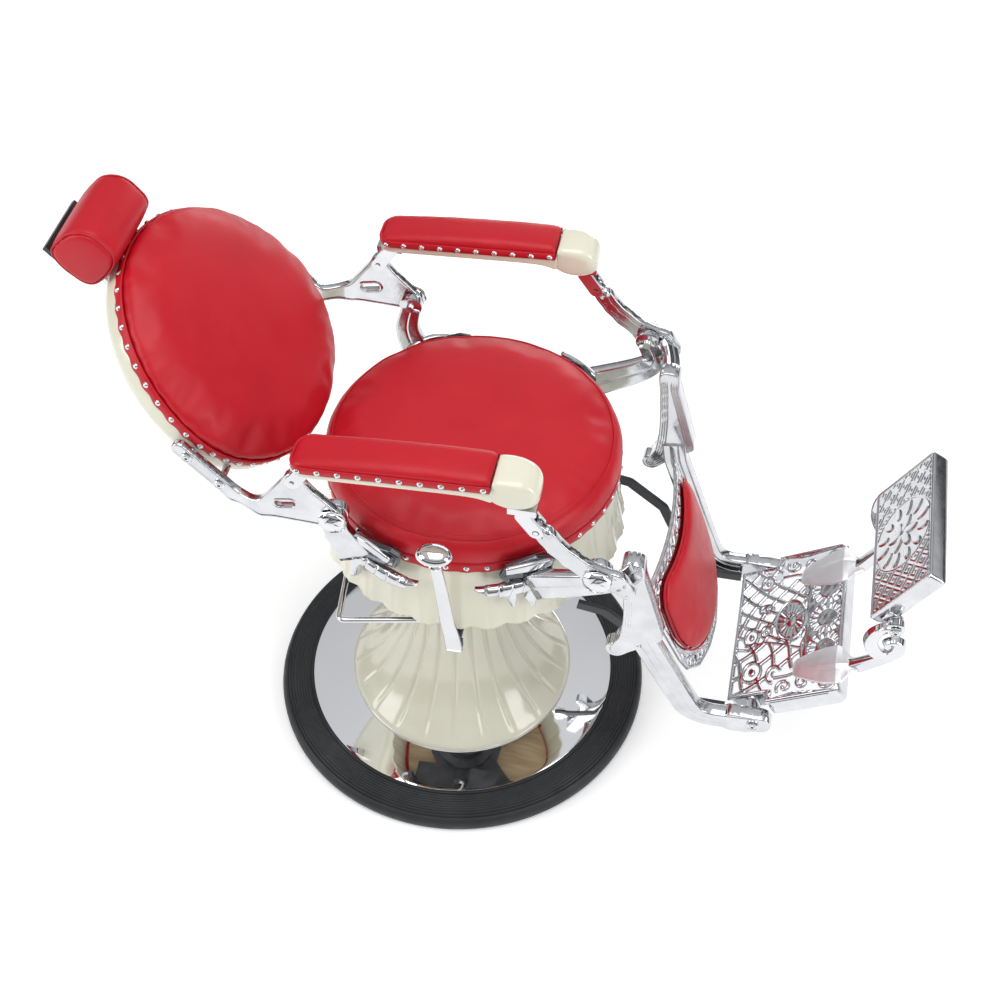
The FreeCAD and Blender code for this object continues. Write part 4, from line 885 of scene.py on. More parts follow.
def make_armrest(name, side):
    middle = side * ARM_Y
    body = f"armrest_{name}"
    stations = [(-171, 19, 3.5, 7), (-170, 25, 2, 10), (-166, 30.5, 0.4, 14), (-158, 33.6, 0, 17),
                (-145, 34.3, 0, 19.5), (-120, 34.5, 0, 22), (-60, 34.5, 0, 25), (0, 34.5, 0, 26),
                (60, 34.5, 0, 26), (110, 34.5, 0, 24.5), (123, 34.4, 0, 23.6), (126.5, 33.8, 0.3, 22.6),
                (128, 32, 1.5, 20)]
    rings = []
    for x, half, lift, tall in stations:
        low = arm_floor(x) + lift
        top_radius = min(12, half * 0.5, tall * 0.55)
        section = box_section(low, low + tall - lift, half, middle, 1.5, top_radius)
        rings.append([(x, p.x, p.y) for p in section])
    pad = skin(f"arm_pad_vinyl_{name}", rings)
    inflate(pad, 4, lambda p: (arm_floor(p[:, 0]) + 13 - p[:, 2]) / 3 + (p[:, 0] > 122) * 0.7, cap=4)
    half = 35
    spots = []
    for index in range(10):
        x = -156 + 30.5 * index
        for way in (-1, 1):
            spots.append((Vector((x, middle + way * (half + 0.9), arm_floor(x) + 5.6)),
                          Vector((0, way, 0))))

    def rim(height, out, count=26):
        """The pad's side, from its front end round the rear to the front end again."""
        loop = []
        for way in (-1, 1):
            run = [(x, middle + way * (half + out), 0) for x in np.linspace(127.5, -146, count)]
            turns = np.linspace(0, math.pi / 2, 8)[1:]
            bend = [(-146 - (25 + out) * math.sin(a), middle + way * (half + out - 24 + 24 * math.cos(a)),
                     0) for a in turns]
            side_run = run + bend
            loop += side_run if way < 0 else side_run[::-1]
        return [Vector((x, y, arm_floor(x) + height)) for x, y, _ in loop]

    line = rim(13, 0, 60)
    crease(pad, line, 1.3, 2.6)
    dress(pad, MATERIALS["vinyl"], body, "red_vinyl", f"arm_pad_{name}")
    rows = [rim(h, out) for h, out in ((11.8, -3), (12.6, 0), (11.4, 1.0), (5.6, 0.8), (0.8, 1.1),
                                       (0, 0.3), (0.4, -3))]
    band = skin(f"arm_nail_band_{name}", rows, wrap_rows=True, wrap_columns=False, caps=False)
    dress(band, MATERIALS["vinyl"], body, "red_vinyl")
    nails(f"arm_nail_heads_{name}", spots, MATERIALS["chrome"], body, f"arm_nails_{name}")

    stations = [(-168.5, 20, 851, 859, 3), (-167, 26, 850, 861, 4), (-160, 31, 849.4, 861.9, 5),
                (-145, 32.8, 850, 862.9, 5), (-60, 33, 855, 868.6, 5), (40, 33, 861, 874.6, 5),
                (104, 33, 864, 878.4, 5), (121, 33, 859, 879.4, 5), (128.6, 33, 856, 879.8, 6),
                (129.2, 31, 856, 895, 8), (131, 32, 854.5, 898, 10), (138, 33, 850, 900, 12),
                (152, 33.4, 846, 901, 13), (166, 33, 845, 900, 15), (178, 31, 846, 897, 16),
                (187, 28, 849, 892, 15), (193, 23, 853, 885, 13), (196.5, 16, 858, 877, 9)]
    rings = []
    for x, half_width, low, high, radius in stations:
        radius = min(radius, (high - low) * 0.45)
        rings.append([(x, p.x, p.y) for p in box_section(low, high, half_width, middle, radius, radius)])
    block = skin(f"arm_base_enamel_{name}", rings)
    refine = block.modifiers.new("fine", "SUBSURF")
    refine.levels = 2
    bake_modifiers(block)
    block.data.shade_smooth()
    dress(block, MATERIALS["enamel"], body, "ivory_enamel", f"arm_base_{name}")


def panel_height(x):
    """How far the calf panel stands out of its chord plane at a distance from its middle."""
    radius = (PANEL_HALF ** 2 + PANEL_BULGE ** 2) / (2 * PANEL_BULGE)
    return np.sqrt(radius ** 2 - x * x) - radius + PANEL_BULGE


def make_calf_pad():
    space = lean_frame(PANEL_TOP, PANEL_LEAN)
    loop = [(x, y, 0) for x, y in PAD_SHIELD + [(-x, y) for x, y in PAD_SHIELD[-2:0:-1]]]
    outline = smooth_curve(loop, 6, True)
    heart = Vector((0, -132, 0))
    levels = [(0.03, 0), (0.5, 0), (0.93, 0), (0.975, 2), (0.985, 5), (0.975, 8.5), (0.93, 12),
              (0.84, 14.5), (0.68, 16), (0.45, 16.8), (0.22, 17), (0.03, 17)]
    rings = []
    for scale, height in levels:
        ring = []
        for p in outline:
            spot = heart + (p - heart) * scale
            ring.append(Vector((spot.x, spot.y, panel_height(spot.x) + 4.4 + height)))
        rings.append(ring)
    pad = skin("calf_pad_vinyl", rings, transform=space)

    def held(points):
        local = into(space, points)
        return (10 - (local[:, 2] - panel_height(local[:, 0]))) / 3

    inflate(pad, 5, held, cap=5)
    edge = [space @ Vector((p.x * 0.985, heart.y + (p.y - heart.y) * 0.985,
                            panel_height(p.x * 0.985) + 4.4 + 5)) for p in outline]
    dress(pad, MATERIALS["vinyl"], "leg_frame", "red_vinyl", "calf_pad")
    welt = tube("calf_pad_welt", edge, 1.9, 8, closed=True)
    dress(welt, MATERIALS["vinyl"], "leg_frame", "red_vinyl")


def board_space():
    """Local X is -Y, local Y runs up the foot board, local Z faces the chair."""
    angle = math.radians(BOARD_LEAN)
    along = Vector((math.sin(angle), 0, math.cos(angle)))
    face = Vector((-math.cos(angle), 0, math.sin(angle)))
    middle = Vector(BOARD_HINGE) + along * (BOARD_HALF[1] - BOARD_LOW) + face * BOARD_RISE
    turn = Matrix((Vector((0, -1, 0)), along, face)).transposed().to_4x4()
    return Matrix.Translation(middle) @ turn


def make_board_pad():
    space = board_space()
    half_w, half_l = 125.5, 67.5
    rings = []
    for depth, inset, radius in ((-5, 60, 8), (-5, 1, 8), (-12, 0, 9), (-24, 0, 10), (-30, 1, 12),
                                 (-35, 3.5, 14), (-39, 9, 16), (-40.5, 20, 16), (-41, 45, 12)):
        corners = [(-half_w + inset, -half_l + inset), (half_w - inset, -half_l + inset),
                   (half_w - inset, half_l - inset), (-half_w + inset, half_l - inset)]
        rings.append([(x, y, depth) for x, y in rounded_profile(corners, radius, 5)])
    pad = skin("board_pad_vinyl", rings, transform=space)

    def held(points):
        local = into(space, points)
        return (local[:, 2] + 28) / 4

    inflate(pad, 5, held, cap=4)
    dress(pad, MATERIALS["vinyl"], "foot_board", "red_vinyl", "board_pad")
    corners = [(-half_w, -half_l), (half_w, -half_l), (half_w, half_l), (-half_w, half_l)]
    line = [space @ Vector((x, y, -29.6)) for x, y in rounded_profile(corners, 10, 6)]
    dense = []
    for a, b in zip(line, line[1:] + line[:1]):
        dense += [a.lerp(b, k / 4) for k in range(4)]
    welt = tube("board_pad_welt", dense, 1.8, 8, closed=True)
    dress(welt, MATERIALS["vinyl"], "foot_board", "red_vinyl")


# ---------------------------------------------------------------- base and column

def make_base():
    outer = BASE_RADIUS
    profile = [(outer - 40, 1), (outer - 9, 0.5), (outer - 2, 5), (outer - 0.2, 11), (outer - 0.2, 19),
               (outer - 3, 25)]
    for inset in range(8, 54, 5):
        rise = 36 - 9.5 * max(0, (24 - inset) / 24) ** 1.6
        profile += [(outer - inset, rise), (outer - inset - 3.2, rise + 0.5),
                    (outer - inset - 3.9, rise - 0.9), (outer - inset - 4.5, rise - 0.7)]
    profile += [(outer - 56, 37.5), (outer - 60, 38), (outer - 61.2, 37), (outer - 61.2, 34),
                (outer - 48, 20)]
    ring = turned("rubber_ring", profile, 256)
    dress(ring, MATERIALS["rubber"], "base", "black_rubber", "base_ring")

    edge = outer - 61.3
    profile = smooth_curve([(edge - 0.5, 34, 0), (edge - 1.2, 37.2, 0), (edge - 6, 38.8, 0),
                            (240, 44.5, 0), (200, 49, 0), (130, 55, 0), (75.5, 60, 0)], 5)
    profile = [(p.x, p.y) for p in profile]
    under = [(r, z - 2) for r, z in reversed(profile[2:])]
    disc = turned("mirror_cover", profile + under, 256)
    sharp_by_angle(disc, 30)
    dress(disc, MATERIALS["mirror"], "base", "chrome", "base_cover")

    lobes = 22
    outside = smooth_curve([(209, 48.5, 0), (209.4, 55, 0), (206, 62, 0), (196, 72, 0), (172, 94, 0),
                            (148, 125, 0), (125, 165, 0), (106, 215, 0), (96, 272, 0), (94, 338, 0)], 6)
    profile = [(p.x, p.y) for p in outside]
    inside = [(r - 4.5, z - 1) for r, z in reversed(profile[3:])]
    total = len(profile)

    def flute(angle, radius, height, index):
        if index >= total:
            return radius - 3.0, height
        share = (lobes * angle / (2 * math.pi)) % 1.0
        away = min(share, 1 - share) * 2
        gather = max(0.0, min(1.0, (height - 62) / 16))
        narrow = 0.16 + 0.20 * max(0.0, min(1.0, (height - 80) / 190))
        valley = math.exp(-(away / narrow) ** 2)
        step = 0.9 * math.exp(-((share - 0.13) / 0.07) ** 2)
        deep = 3.4 + 1.4 * max(0.0, min(1.0, (height - 90) / 160))
        return radius + gather * (1.0 - deep * valley + step), height

    bell = turned("lower_bell_enamel", profile + inside, lobes * 26, (0, 0), flute)
    dress(bell, MATERIALS["enamel"], "base", "ivory_enamel", "lower_bell")


def bracket_angle(end, side):
    """Heading of a seat bracket from the middle of the seat."""
    x, _ = REAR_PIVOT if end == "rear" else FRONT_PIVOT
    y = REAR_EYE_Y if end == "rear" else FRONT_EYE_Y
    return math.atan2(side * y, x - SEAT_X)


def make_skirt():
    """A fluted shell with a ruffled lower edge, notched where the seat brackets come out."""
    pleats = 30
    segments = pleats * 20
    rows = 40
    wall = 4
    notches = [bracket_angle(end, side) for end in ("rear", "front") for side in SIDES.values()]

    def spot(k, row, inset):
        angle = 2 * math.pi * k / segments
        t = row / (rows - 1)
        wave = math.cos(pleats * angle)
        swell = 0.5 + 0.5 * math.cos(pleats * angle / 2 + 0.6 * math.sin(3 * angle))
        flare = t ** 1.5
        radius = 238.5 + 19 * flare - inset
        radius += flare * (2.2 * wave + 0.8 * swell) + 0.9 * t * wave
        off = (pleats * angle / (2 * math.pi) + 0.5) % 1 - 0.5
        radius -= (0.9 + 1.6 * t) * math.exp(-(off / 0.10) ** 2)
        edge = 3.4 * (1 - abs(math.cos(pleats * angle / 2))) + 1.2 * (1 - math.cos(5 * angle))
        height = SKIRT_TOP - 0.5 - (SKIRT_TOP - SKIRT_BOTTOM - 0.5 - edge) * t
        return Vector((SKIRT_X + radius * math.cos(angle), radius * math.sin(angle), height))

    def open_at(k, row):
        angle = 2 * math.pi * (k + 0.5) / segments
        height = SKIRT_TOP - (SKIRT_TOP - SKIRT_BOTTOM) * (row + 0.5) / (rows - 1)
        near = min(abs((angle - notch + math.pi) % (2 * math.pi) - math.pi) for notch in notches)
        return near * 240 < 32 and height > 602

    points = [spot(k, row, inset) for inset in (0, wall) for row in range(rows) for k in range(segments)]
    layer = rows * segments

    def at(k, row):
        return row * segments + k % segments

    faces = []
    for row in range(rows - 1):
        for k in range(segments):
            if open_at(k, row):
                continue
            a, b, c, d = (at(k + i, row + j) for i, j in ((0, 0), (1, 0), (1, 1), (0, 1)))
            faces.append((a, b, c, d))
            faces.append((a + layer, d + layer, c + layer, b + layer))
            if row == 0 or open_at(k, row - 1):
                faces.append((a, a + layer, b + layer, b))
            if row == rows - 2:
                faces.append((d, c, c + layer, d + layer))
            if open_at(k - 1, row):
                faces.append((a, d, d + layer, a + layer))
            if open_at(k + 1, row):
                faces.append((b, b + layer, c + layer, c))
    used = sorted({index for face in faces for index in face})
    rename = {old: new for new, old in enumerate(used)}
    skirt = new_object("upper_skirt_enamel", [points[index] for index in used],
                       [tuple(rename[index] for index in face) for face in faces])
    fix_normals(skirt)
    sharp_by_angle(skirt, 50)
    dress(skirt, MATERIALS["enamel"], "seat", "ivory_enamel", "upper_skirt")


# ---------------------------------------------------------------- cast relief

def ring_depth(x, y, centre, sizes, width):
    """How deep a place lies within an oval band; below zero outside it."""
    scale = np.hypot((x - centre[0]) / sizes[0], (y - centre[1]) / sizes[1])
    return width / 2 - np.abs(scale - 1) * min(sizes)


def oval_depth(x, y, centre, sizes):
    return (1 - np.hypot((x - centre[0]) / sizes[0], (y - centre[1]) / sizes[1])) * min(sizes)


def run_depth(x, y, start, stop, start_radius, stop_radius):
    """How deep a place lies within a tapered bar with round ends."""
    ax, ay = stop[0] - start[0], stop[1] - start[1]
    share = np.clip(((x - start[0]) * ax + (y - start[1]) * ay) / (ax * ax + ay * ay), 0, 1)
    gap = np.hypot(x - start[0] - share * ax, y - start[1] - share * ay)
    return start_radius + (stop_radius - start_radius) * share - gap


def line_depth(x, y, points, width):
    gap = np.full(x.shape, -1e9)
    for start, stop in zip(points, points[1:]):
        gap = np.maximum(gap, run_depth(x, y, start, stop, width / 2, width / 2))
    return gap


def strands_depth(x, y, pitch, width, angle, bow=0.0):
    """Parallel strands, bowed a little."""
    turn = math.radians(angle)
    across = x * math.cos(turn) + y * math.sin(turn)
    along = y * math.cos(turn) - x * math.sin(turn)
    across = across + bow * np.sin(along / 27)
    return width / 2 - np.abs((across / pitch + 0.5) % 1 - 0.5) * pitch


def outline_depth(x, y, points):
    """How deep a place lies within a closed outline."""
    gap = np.full(x.shape, 1e9)
    inside = np.zeros(x.shape, dtype=bool)
    for (ax, ay), (bx, by) in zip(points, points[1:] + points[:1]):
        gap = np.minimum(gap, -run_depth(x, y, (ax, ay), (bx, by), 0, 0))
        if ay != by:
            crosses = (ay > y) != (by > y)
            inside ^= crosses & (x < (bx - ax) * (y - ay) / (by - ay) + ax)
    return np.where(inside, gap, -gap)


def scroll(centre, radius, start, turns, way=1, count=22):
    """Points of a spiral that winds in to its centre."""
    made = []
    for k in range(count + 1):
        share = k / count
        angle = math.radians(start) + way * turns * 2 * math.pi * share
        reach = radius * (1 - 0.82 * share)
        made.append((centre[0] + reach * math.cos(angle), centre[1] + reach * math.sin(angle)))
    return made


def round_over(depth, width):
    """Rises from 0 to 1 like a quarter circle over the width."""
    return np.sqrt(1 - (1 - np.clip(depth / width, 0, 1)) ** 2)


def groove(depth, at, width):
    return np.exp(-((depth - at) / width) ** 2)


def relief_sheet(name, depth, low, high, step, front, rear, place):
    """A cast sheet: metal where depth(x, y) is above zero, between the heights front(x, y, depth) and
    rear(x, y, depth). place turns local points into points of the CAD frame."""
    xs = np.arange(low[0], high[0] + step, step)
    ys = np.arange(low[1], high[1] + step, step)
    grid_x, grid_y = np.meshgrid(xs, ys, indexing="ij")
    values = depth(grid_x, grid_y)
    flat, faces, walls = [], [], []
    known = {}

    def corner(i, j):
        key = (i, j)
        if key not in known:
            known[key] = len(flat)
            flat.append((xs[i], ys[j], values[i, j]))
        return known[key]

    def crossing(a, b):
        key = (min(a, b), max(a, b))
        if key not in known:
            first, last = values[key[0]], values[key[1]]
            t = first / (first - last)
            known[key] = len(flat)
            (i, j), (m, n) = key
            flat.append((xs[i] * (1 - t) + xs[m] * t, ys[j] * (1 - t) + ys[n] * t, 0.0))
        return known[key]

    solid = values > 0
    count = (solid[:-1, :-1].astype(int) + solid[1:, :-1] + solid[1:, 1:] + solid[:-1, 1:])
    for i, j in np.argwhere(count > 0):
        i, j = int(i), int(j)
        cells = ((i, j), (i + 1, j), (i + 1, j + 1), (i, j + 1))
        if count[i, j] == 4:
            faces.append(tuple(corner(*cell) for cell in cells))
            continue
        loop, marks = [], []
        for k in range(4):
            here, after = cells[k], cells[(k + 1) % 4]
            if solid[here]:
                loop.append(corner(*here))
                marks.append(False)
            if solid[here] != solid[after]:
                loop.append(crossing(here, after))
                marks.append(True)
        faces.append(tuple(loop))
        total = len(loop)
        for k in range(total):
            if marks[k] and marks[(k + 1) % total]:
                walls.append((loop[k], loop[(k + 1) % total]))
    table = np.array(flat)
    x, y, d = table[:, 0], table[:, 1], table[:, 2]
    top = np.stack([x, y, front(x, y, d)], axis=1)
    bottom = np.stack([x, y, rear(x, y, d)], axis=1)
    points = [place(p) for p in np.concatenate([top, bottom])]
    base = len(flat)
    faces = faces + [tuple(base + k for k in reversed(face)) for face in faces]
    faces += [(b, a, base + a, base + b) for a, b in walls]
    thing = new_object(name, points, faces)
    fix_normals(thing)
    sharp_by_angle(thing, 50)
    return thing


def through(space):
    """Carries local points by a matrix."""
    return lambda p: space @ Vector(p)


def no_shift(x):
    return 0.0


def side_place(y, way, shift=no_shift):
    """Local X is +X, local Y is +Z, and local Z points away from the middle of the chair.
    shift(x) moves the casting inwards."""
    return lambda p: Vector((p[0], y + way * (p[2] - shift(p[0])), p[1]))


def side_casting(name, runs, holes, y, way, thick, rim=3.4, sink=1.5, grooves=(), extra=None, blend=6.0,
                 step=1.25, shift=no_shift):
    """A casting in the side plane: tapered runs melted together, with a raised rim, holes and grooves.
    A hole is a start, a stop and a radius."""
    def depth(x, z):
        total = np.zeros(x.shape)
        for start, stop, start_radius, stop_radius in runs:
            inside = run_depth(x, z, start, stop, start_radius, stop_radius)
            total = total + np.exp(np.clip(inside / blend, -20, 9))
        solid = blend * np.log(np.maximum(total, 1e-9)) - blend * 0.18
        if extra is not None:
            solid = np.maximum(solid, extra(x, z))
        for start, stop, radius in holes:
            solid = np.minimum(solid, -run_depth(x, z, start, stop, radius, radius))
        return solid

    def face(x, z, d):
        rise = thick / 2 - 2.0 + 2.0 * round_over(d, 2.2)
        rise = rise - sink * np.clip((d - rim) / 1.6, 0, 1)
        for at in grooves:
            rise = rise - 0.9 * groove(d, at, 0.8)
        return rise

    spread = [(p[0], p[1], r) for start, stop, a, b in runs for p, r in ((start, a), (stop, b))]
    low = (min(p[0] - p[2] for p in spread) - 8, min(p[1] - p[2] for p in spread) - 8)
    high = (max(p[0] + p[2] for p in spread) + 8, max(p[1] + p[2] for p in spread) + 8)
    place = side_place(y, way, shift)
    return relief_sheet(name, depth, low, high, step, face, lambda x, z, d: -face(x, z, d), place)


def round_piece(name, profile, centre, axis, count=48):
    """A turned piece about any axis. Its profile is (radius, height along the axis) pairs."""
    axis = Vector(axis).normalized()
    side = axis.orthogonal().normalized()
    normal = axis.cross(side)
    centre = Vector(centre)
    rings = [[centre + axis * height + side * u + normal * v for u, v in circle(max(radius, 0.05), count)]
             for radius, height in profile]
    thing = skin(name, rings)
    sharp_by_angle(thing, 40)
    return thing


def screw_head(name, centre, axis, radius, height):
    """A cylinder head with a raised rim, a sunk ring and a thin flat hexagon that stands for the hexagon
    socket and is dressed black as its painted shade.
    """
    profile = [(radius * 0.9, -1.5), (radius * 0.98, 0), (radius, 1), (radius, height - 0.9),
               (radius - 0.9, height), (radius * 0.80, height), (radius * 0.76, height - 1.1),
               (radius * 0.55, height - 1.1), (radius * 0.50, height + 0.3),
               (radius * 0.34, height + 0.3)]
    head = round_piece(name, profile, centre, axis, 40)
    bottom = Vector(centre) + Vector(axis).normalized() * (height + 0.35)
    # A flat hexagon in place of the socket hole; it is dressed black as painted shade.
    socket = round_piece(name + "_socket", [(radius * 0.30, 0), (radius * 0.30, 0.05)], bottom, axis, 6)
    return head, socket


def gem_cap(name, centre, way):
    """An eight-sided cap with triangular facets and a small square table."""
    levels = ((21.5, 0, 0.0), (23, 2.5, 0.0), (23, 6.0, 0.5), (17.5, 10.5, 0.0), (10.5, 14.0, 0.5),
              (6.5, 15.0, 0.5))
    rings = []
    for radius, height, twist in levels:
        rings.append([(centre[0] + radius * math.cos(2 * math.pi * (k + twist) / 8),
                       centre[1] + way * height,
                       centre[2] + radius * math.sin(2 * math.pi * (k + twist) / 8)) for k in range(8)])
    cap = skin(name, rings)
    cap.data.shade_flat()
    split = cap.modifiers.new("split", "TRIANGULATE")
    split.quad_method = "FIXED"
    bake_modifiers(cap)
    return soften_edges(cap, 0.5, 2, 6)


# ---------------------------------------------------------------- brackets and linkage

def strap_shift(x):
    """How far the back strap is joggled in to lie against the shell."""
    share = min(1.0, max(0.0, (-238 - x) / 55))
    return 17 * share * share * (3 - 2 * share)


def make_back_bracket(name, side):
    y = side * (REAR_EYE_Y + LINK_THICK + 0.5)
    knee = (-238, 730)
    runs = [((-361, 817), (-287, 731), 13, 13), ((-287, 731), knee, 13, 15), (knee, REAR_PIVOT, 15, 20),
            (knee, REAR_ARM_PIN, 12, 12), (REAR_ARM_PIN, REAR_PIVOT, 12, 12)]
    web = [(-244, 722), (-238, 742), (-190, 808), (-168, 804), (-112, 744), (-122, 714)]
    holes = [((-207, 748), (-188, 752), 7.0)]
    plate = side_casting(f"back_strap_{name}", runs, holes, y, side, LINK_THICK, blend=4.0,
                         extra=lambda x, z: outline_depth(x, z, web), shift=strap_shift)
    dress(plate, MATERIALS["cast_chrome"], "back", "chrome", f"back_bracket_{name}")


def make_rocker(name, side):
    body = "leg_frame"
    y = side * (FRONT_EYE_Y + LINK_THICK + 0.5)
    runs = [(FRONT_ARM_PIN, (208, 778), 12, 13), ((208, 778), (222, 758), 13, 13),
            ((222, 758), (242, 738), 13, 14), ((242, 738), FRONT_PIVOT, 14, 20),
            (FRONT_PIVOT, (312, 700), 20, 16), ((312, 700), (330, 680), 16, 14)]
    arm = side_casting(f"rocker_arm_{name}", runs, [], y, side, LINK_THICK, grooves=(5.5, 8.5), sink=0.0,
                       blend=5.0)
    horn = round_piece(f"rocker_horn_{name}", [
        (9, 0), (9.5, 2), (7.5, 4), (7, 7), (9, 9), (10.5, 12), (10, 16), (7, 19), (3, 20.4), (0.2, 20.6)],
        (199, y - side * 1, 781), (0.72, 0, 0.69), 32)
    shoulder = swept(f"rocker_shoulder_{name}", smooth_curve([
        (314, side * 268, 698), (322, side * 258, 692), (329, side * 240, 684), (333, side * 224, 670),
        (334, side * 213, 650)], 7), band_section(17, 29, 2, 1.2), (0.7, 0, 0.7))
    outline = [(316, 684), (347, 684), (352, 650), (366, 600), (379, 552), (388, 516), (380, 504),
               (358, 494), (340, 476), (324, 459), (312, 457), (306, 468), (313, 486), (320, 505),
               (323, 560), (318, 640)]
    curve = [(p.x, p.y) for p in smooth_curve([(x, z, 0) for x, z in outline], 4, True)]

    def depth(x, z):
        return outline_depth(x, z, curve)

    def face(x, z, d):
        rise = 13.0 + 2.0 * round_over(d, 2.4)
        bands = groove(d, 5.0, 0.8) + groove(d, 9.0, 0.8) + groove(d, 13.0, 0.8)
        return rise - 1.0 * bands * np.clip((674 - z) / 12, 0, 1)

    sleeve = relief_sheet(f"rail_sleeve_{name}", depth, (298, 448), (398, 694), 1.3, face,
                          lambda x, z, d: -face(x, z, d), side_place(side * SLEEVE_Y, side))
    bends = (352, 486), (334, 470), (320, 456), (308, 455), (302, 465), (307, 475), (316, 474)
    path = smooth_curve([(x, side * SLEEVE_Y, z) for x, z in bends], 5)
    curl = swept(f"sleeve_scroll_{name}", path, rounded_bar(15, 5, 3, 3), (0, 1, 0),
                 lambda t: (1.0 - 0.25 * t, 1.15 - 0.45 * t))
    whole = joined(f"rocker_{name}", [arm, horn, shoulder, sleeve, curl])
    dress(whole, MATERIALS["cast_chrome"], body, "chrome", f"leg_rocker_{name}")


def band_section(wide, tall, bands, depth=0.9):
    """A rounded bar's section whose outer face carries grooves between its bands."""
    made = []
    steps = 12 * bands
    for k in range(steps + 1):
        t = k / steps
        v = tall * (t - 0.5)
        cut = sum(math.exp(-((v - tall * (b / bands - 0.5)) / 0.8) ** 2) for b in range(1, bands))
        corner = min(1.0, (tall / 2 - abs(v)) / 3)
        u = wide / 2 - 2.5 + 2.5 * math.sqrt(max(0.0, 1 - (1 - corner) ** 2)) - depth * cut
        made.append((u, v))
    return made + [(-u, v) for u, v in reversed(made)]


def bend_path(points, reach, steps=7):
    """A polyline whose inner corners are rounded."""
    points = [Vector(p) for p in points]
    made = [points[0]]
    for before, here, after in zip(points, points[1:], points[2:]):
        near = min(reach, (here - before).length * 0.45, (after - here).length * 0.45)
        start = here + (before - here).normalized() * near
        stop = here + (after - here).normalized() * near
        for k in range(steps + 1):
            t = k / steps
            made.append(start * (1 - t) ** 2 + here * 2 * t * (1 - t) + stop * t * t)
    return made + [points[-1]]


def make_rail(name, side):
    path = bend_path([(352, side * 204, 520), (357, side * 203, 485), (452, side * RAIL_Y, 246),
                      (556, side * RAIL_Y, 254.5)], 46)
    rail = swept(f"rail_bar_{name}", path, band_section(24, 42, 3), (0, side, 0))
    sharp_by_angle(rail, 60)
    foot_z = FOOT_HINGE[2]
    clevis = side_casting(f"rail_clevis_{name}", [
        ((522, foot_z - 4), (568, foot_z), 21, 20), ((522, foot_z - 4), (540, foot_z - 6), 21, 18)], [],
        side * RAIL_Y, side, 26, rim=40, sink=0)
    whole = joined(f"rail_{name}", [rail, clevis])
    dress(whole, MATERIALS["cast_chrome"], "leg_frame", "chrome", f"leg_rail_{name}")


def on_skirt(radius, side):
    """Local X is degrees from straight behind the seat towards its front, local Y is height."""
    def place(p):
        angle = math.radians(p[0])
        reach = radius + p[2]
        return Vector((SEAT_X - reach * math.cos(angle), side * reach * math.sin(angle), p[1]))
    return place


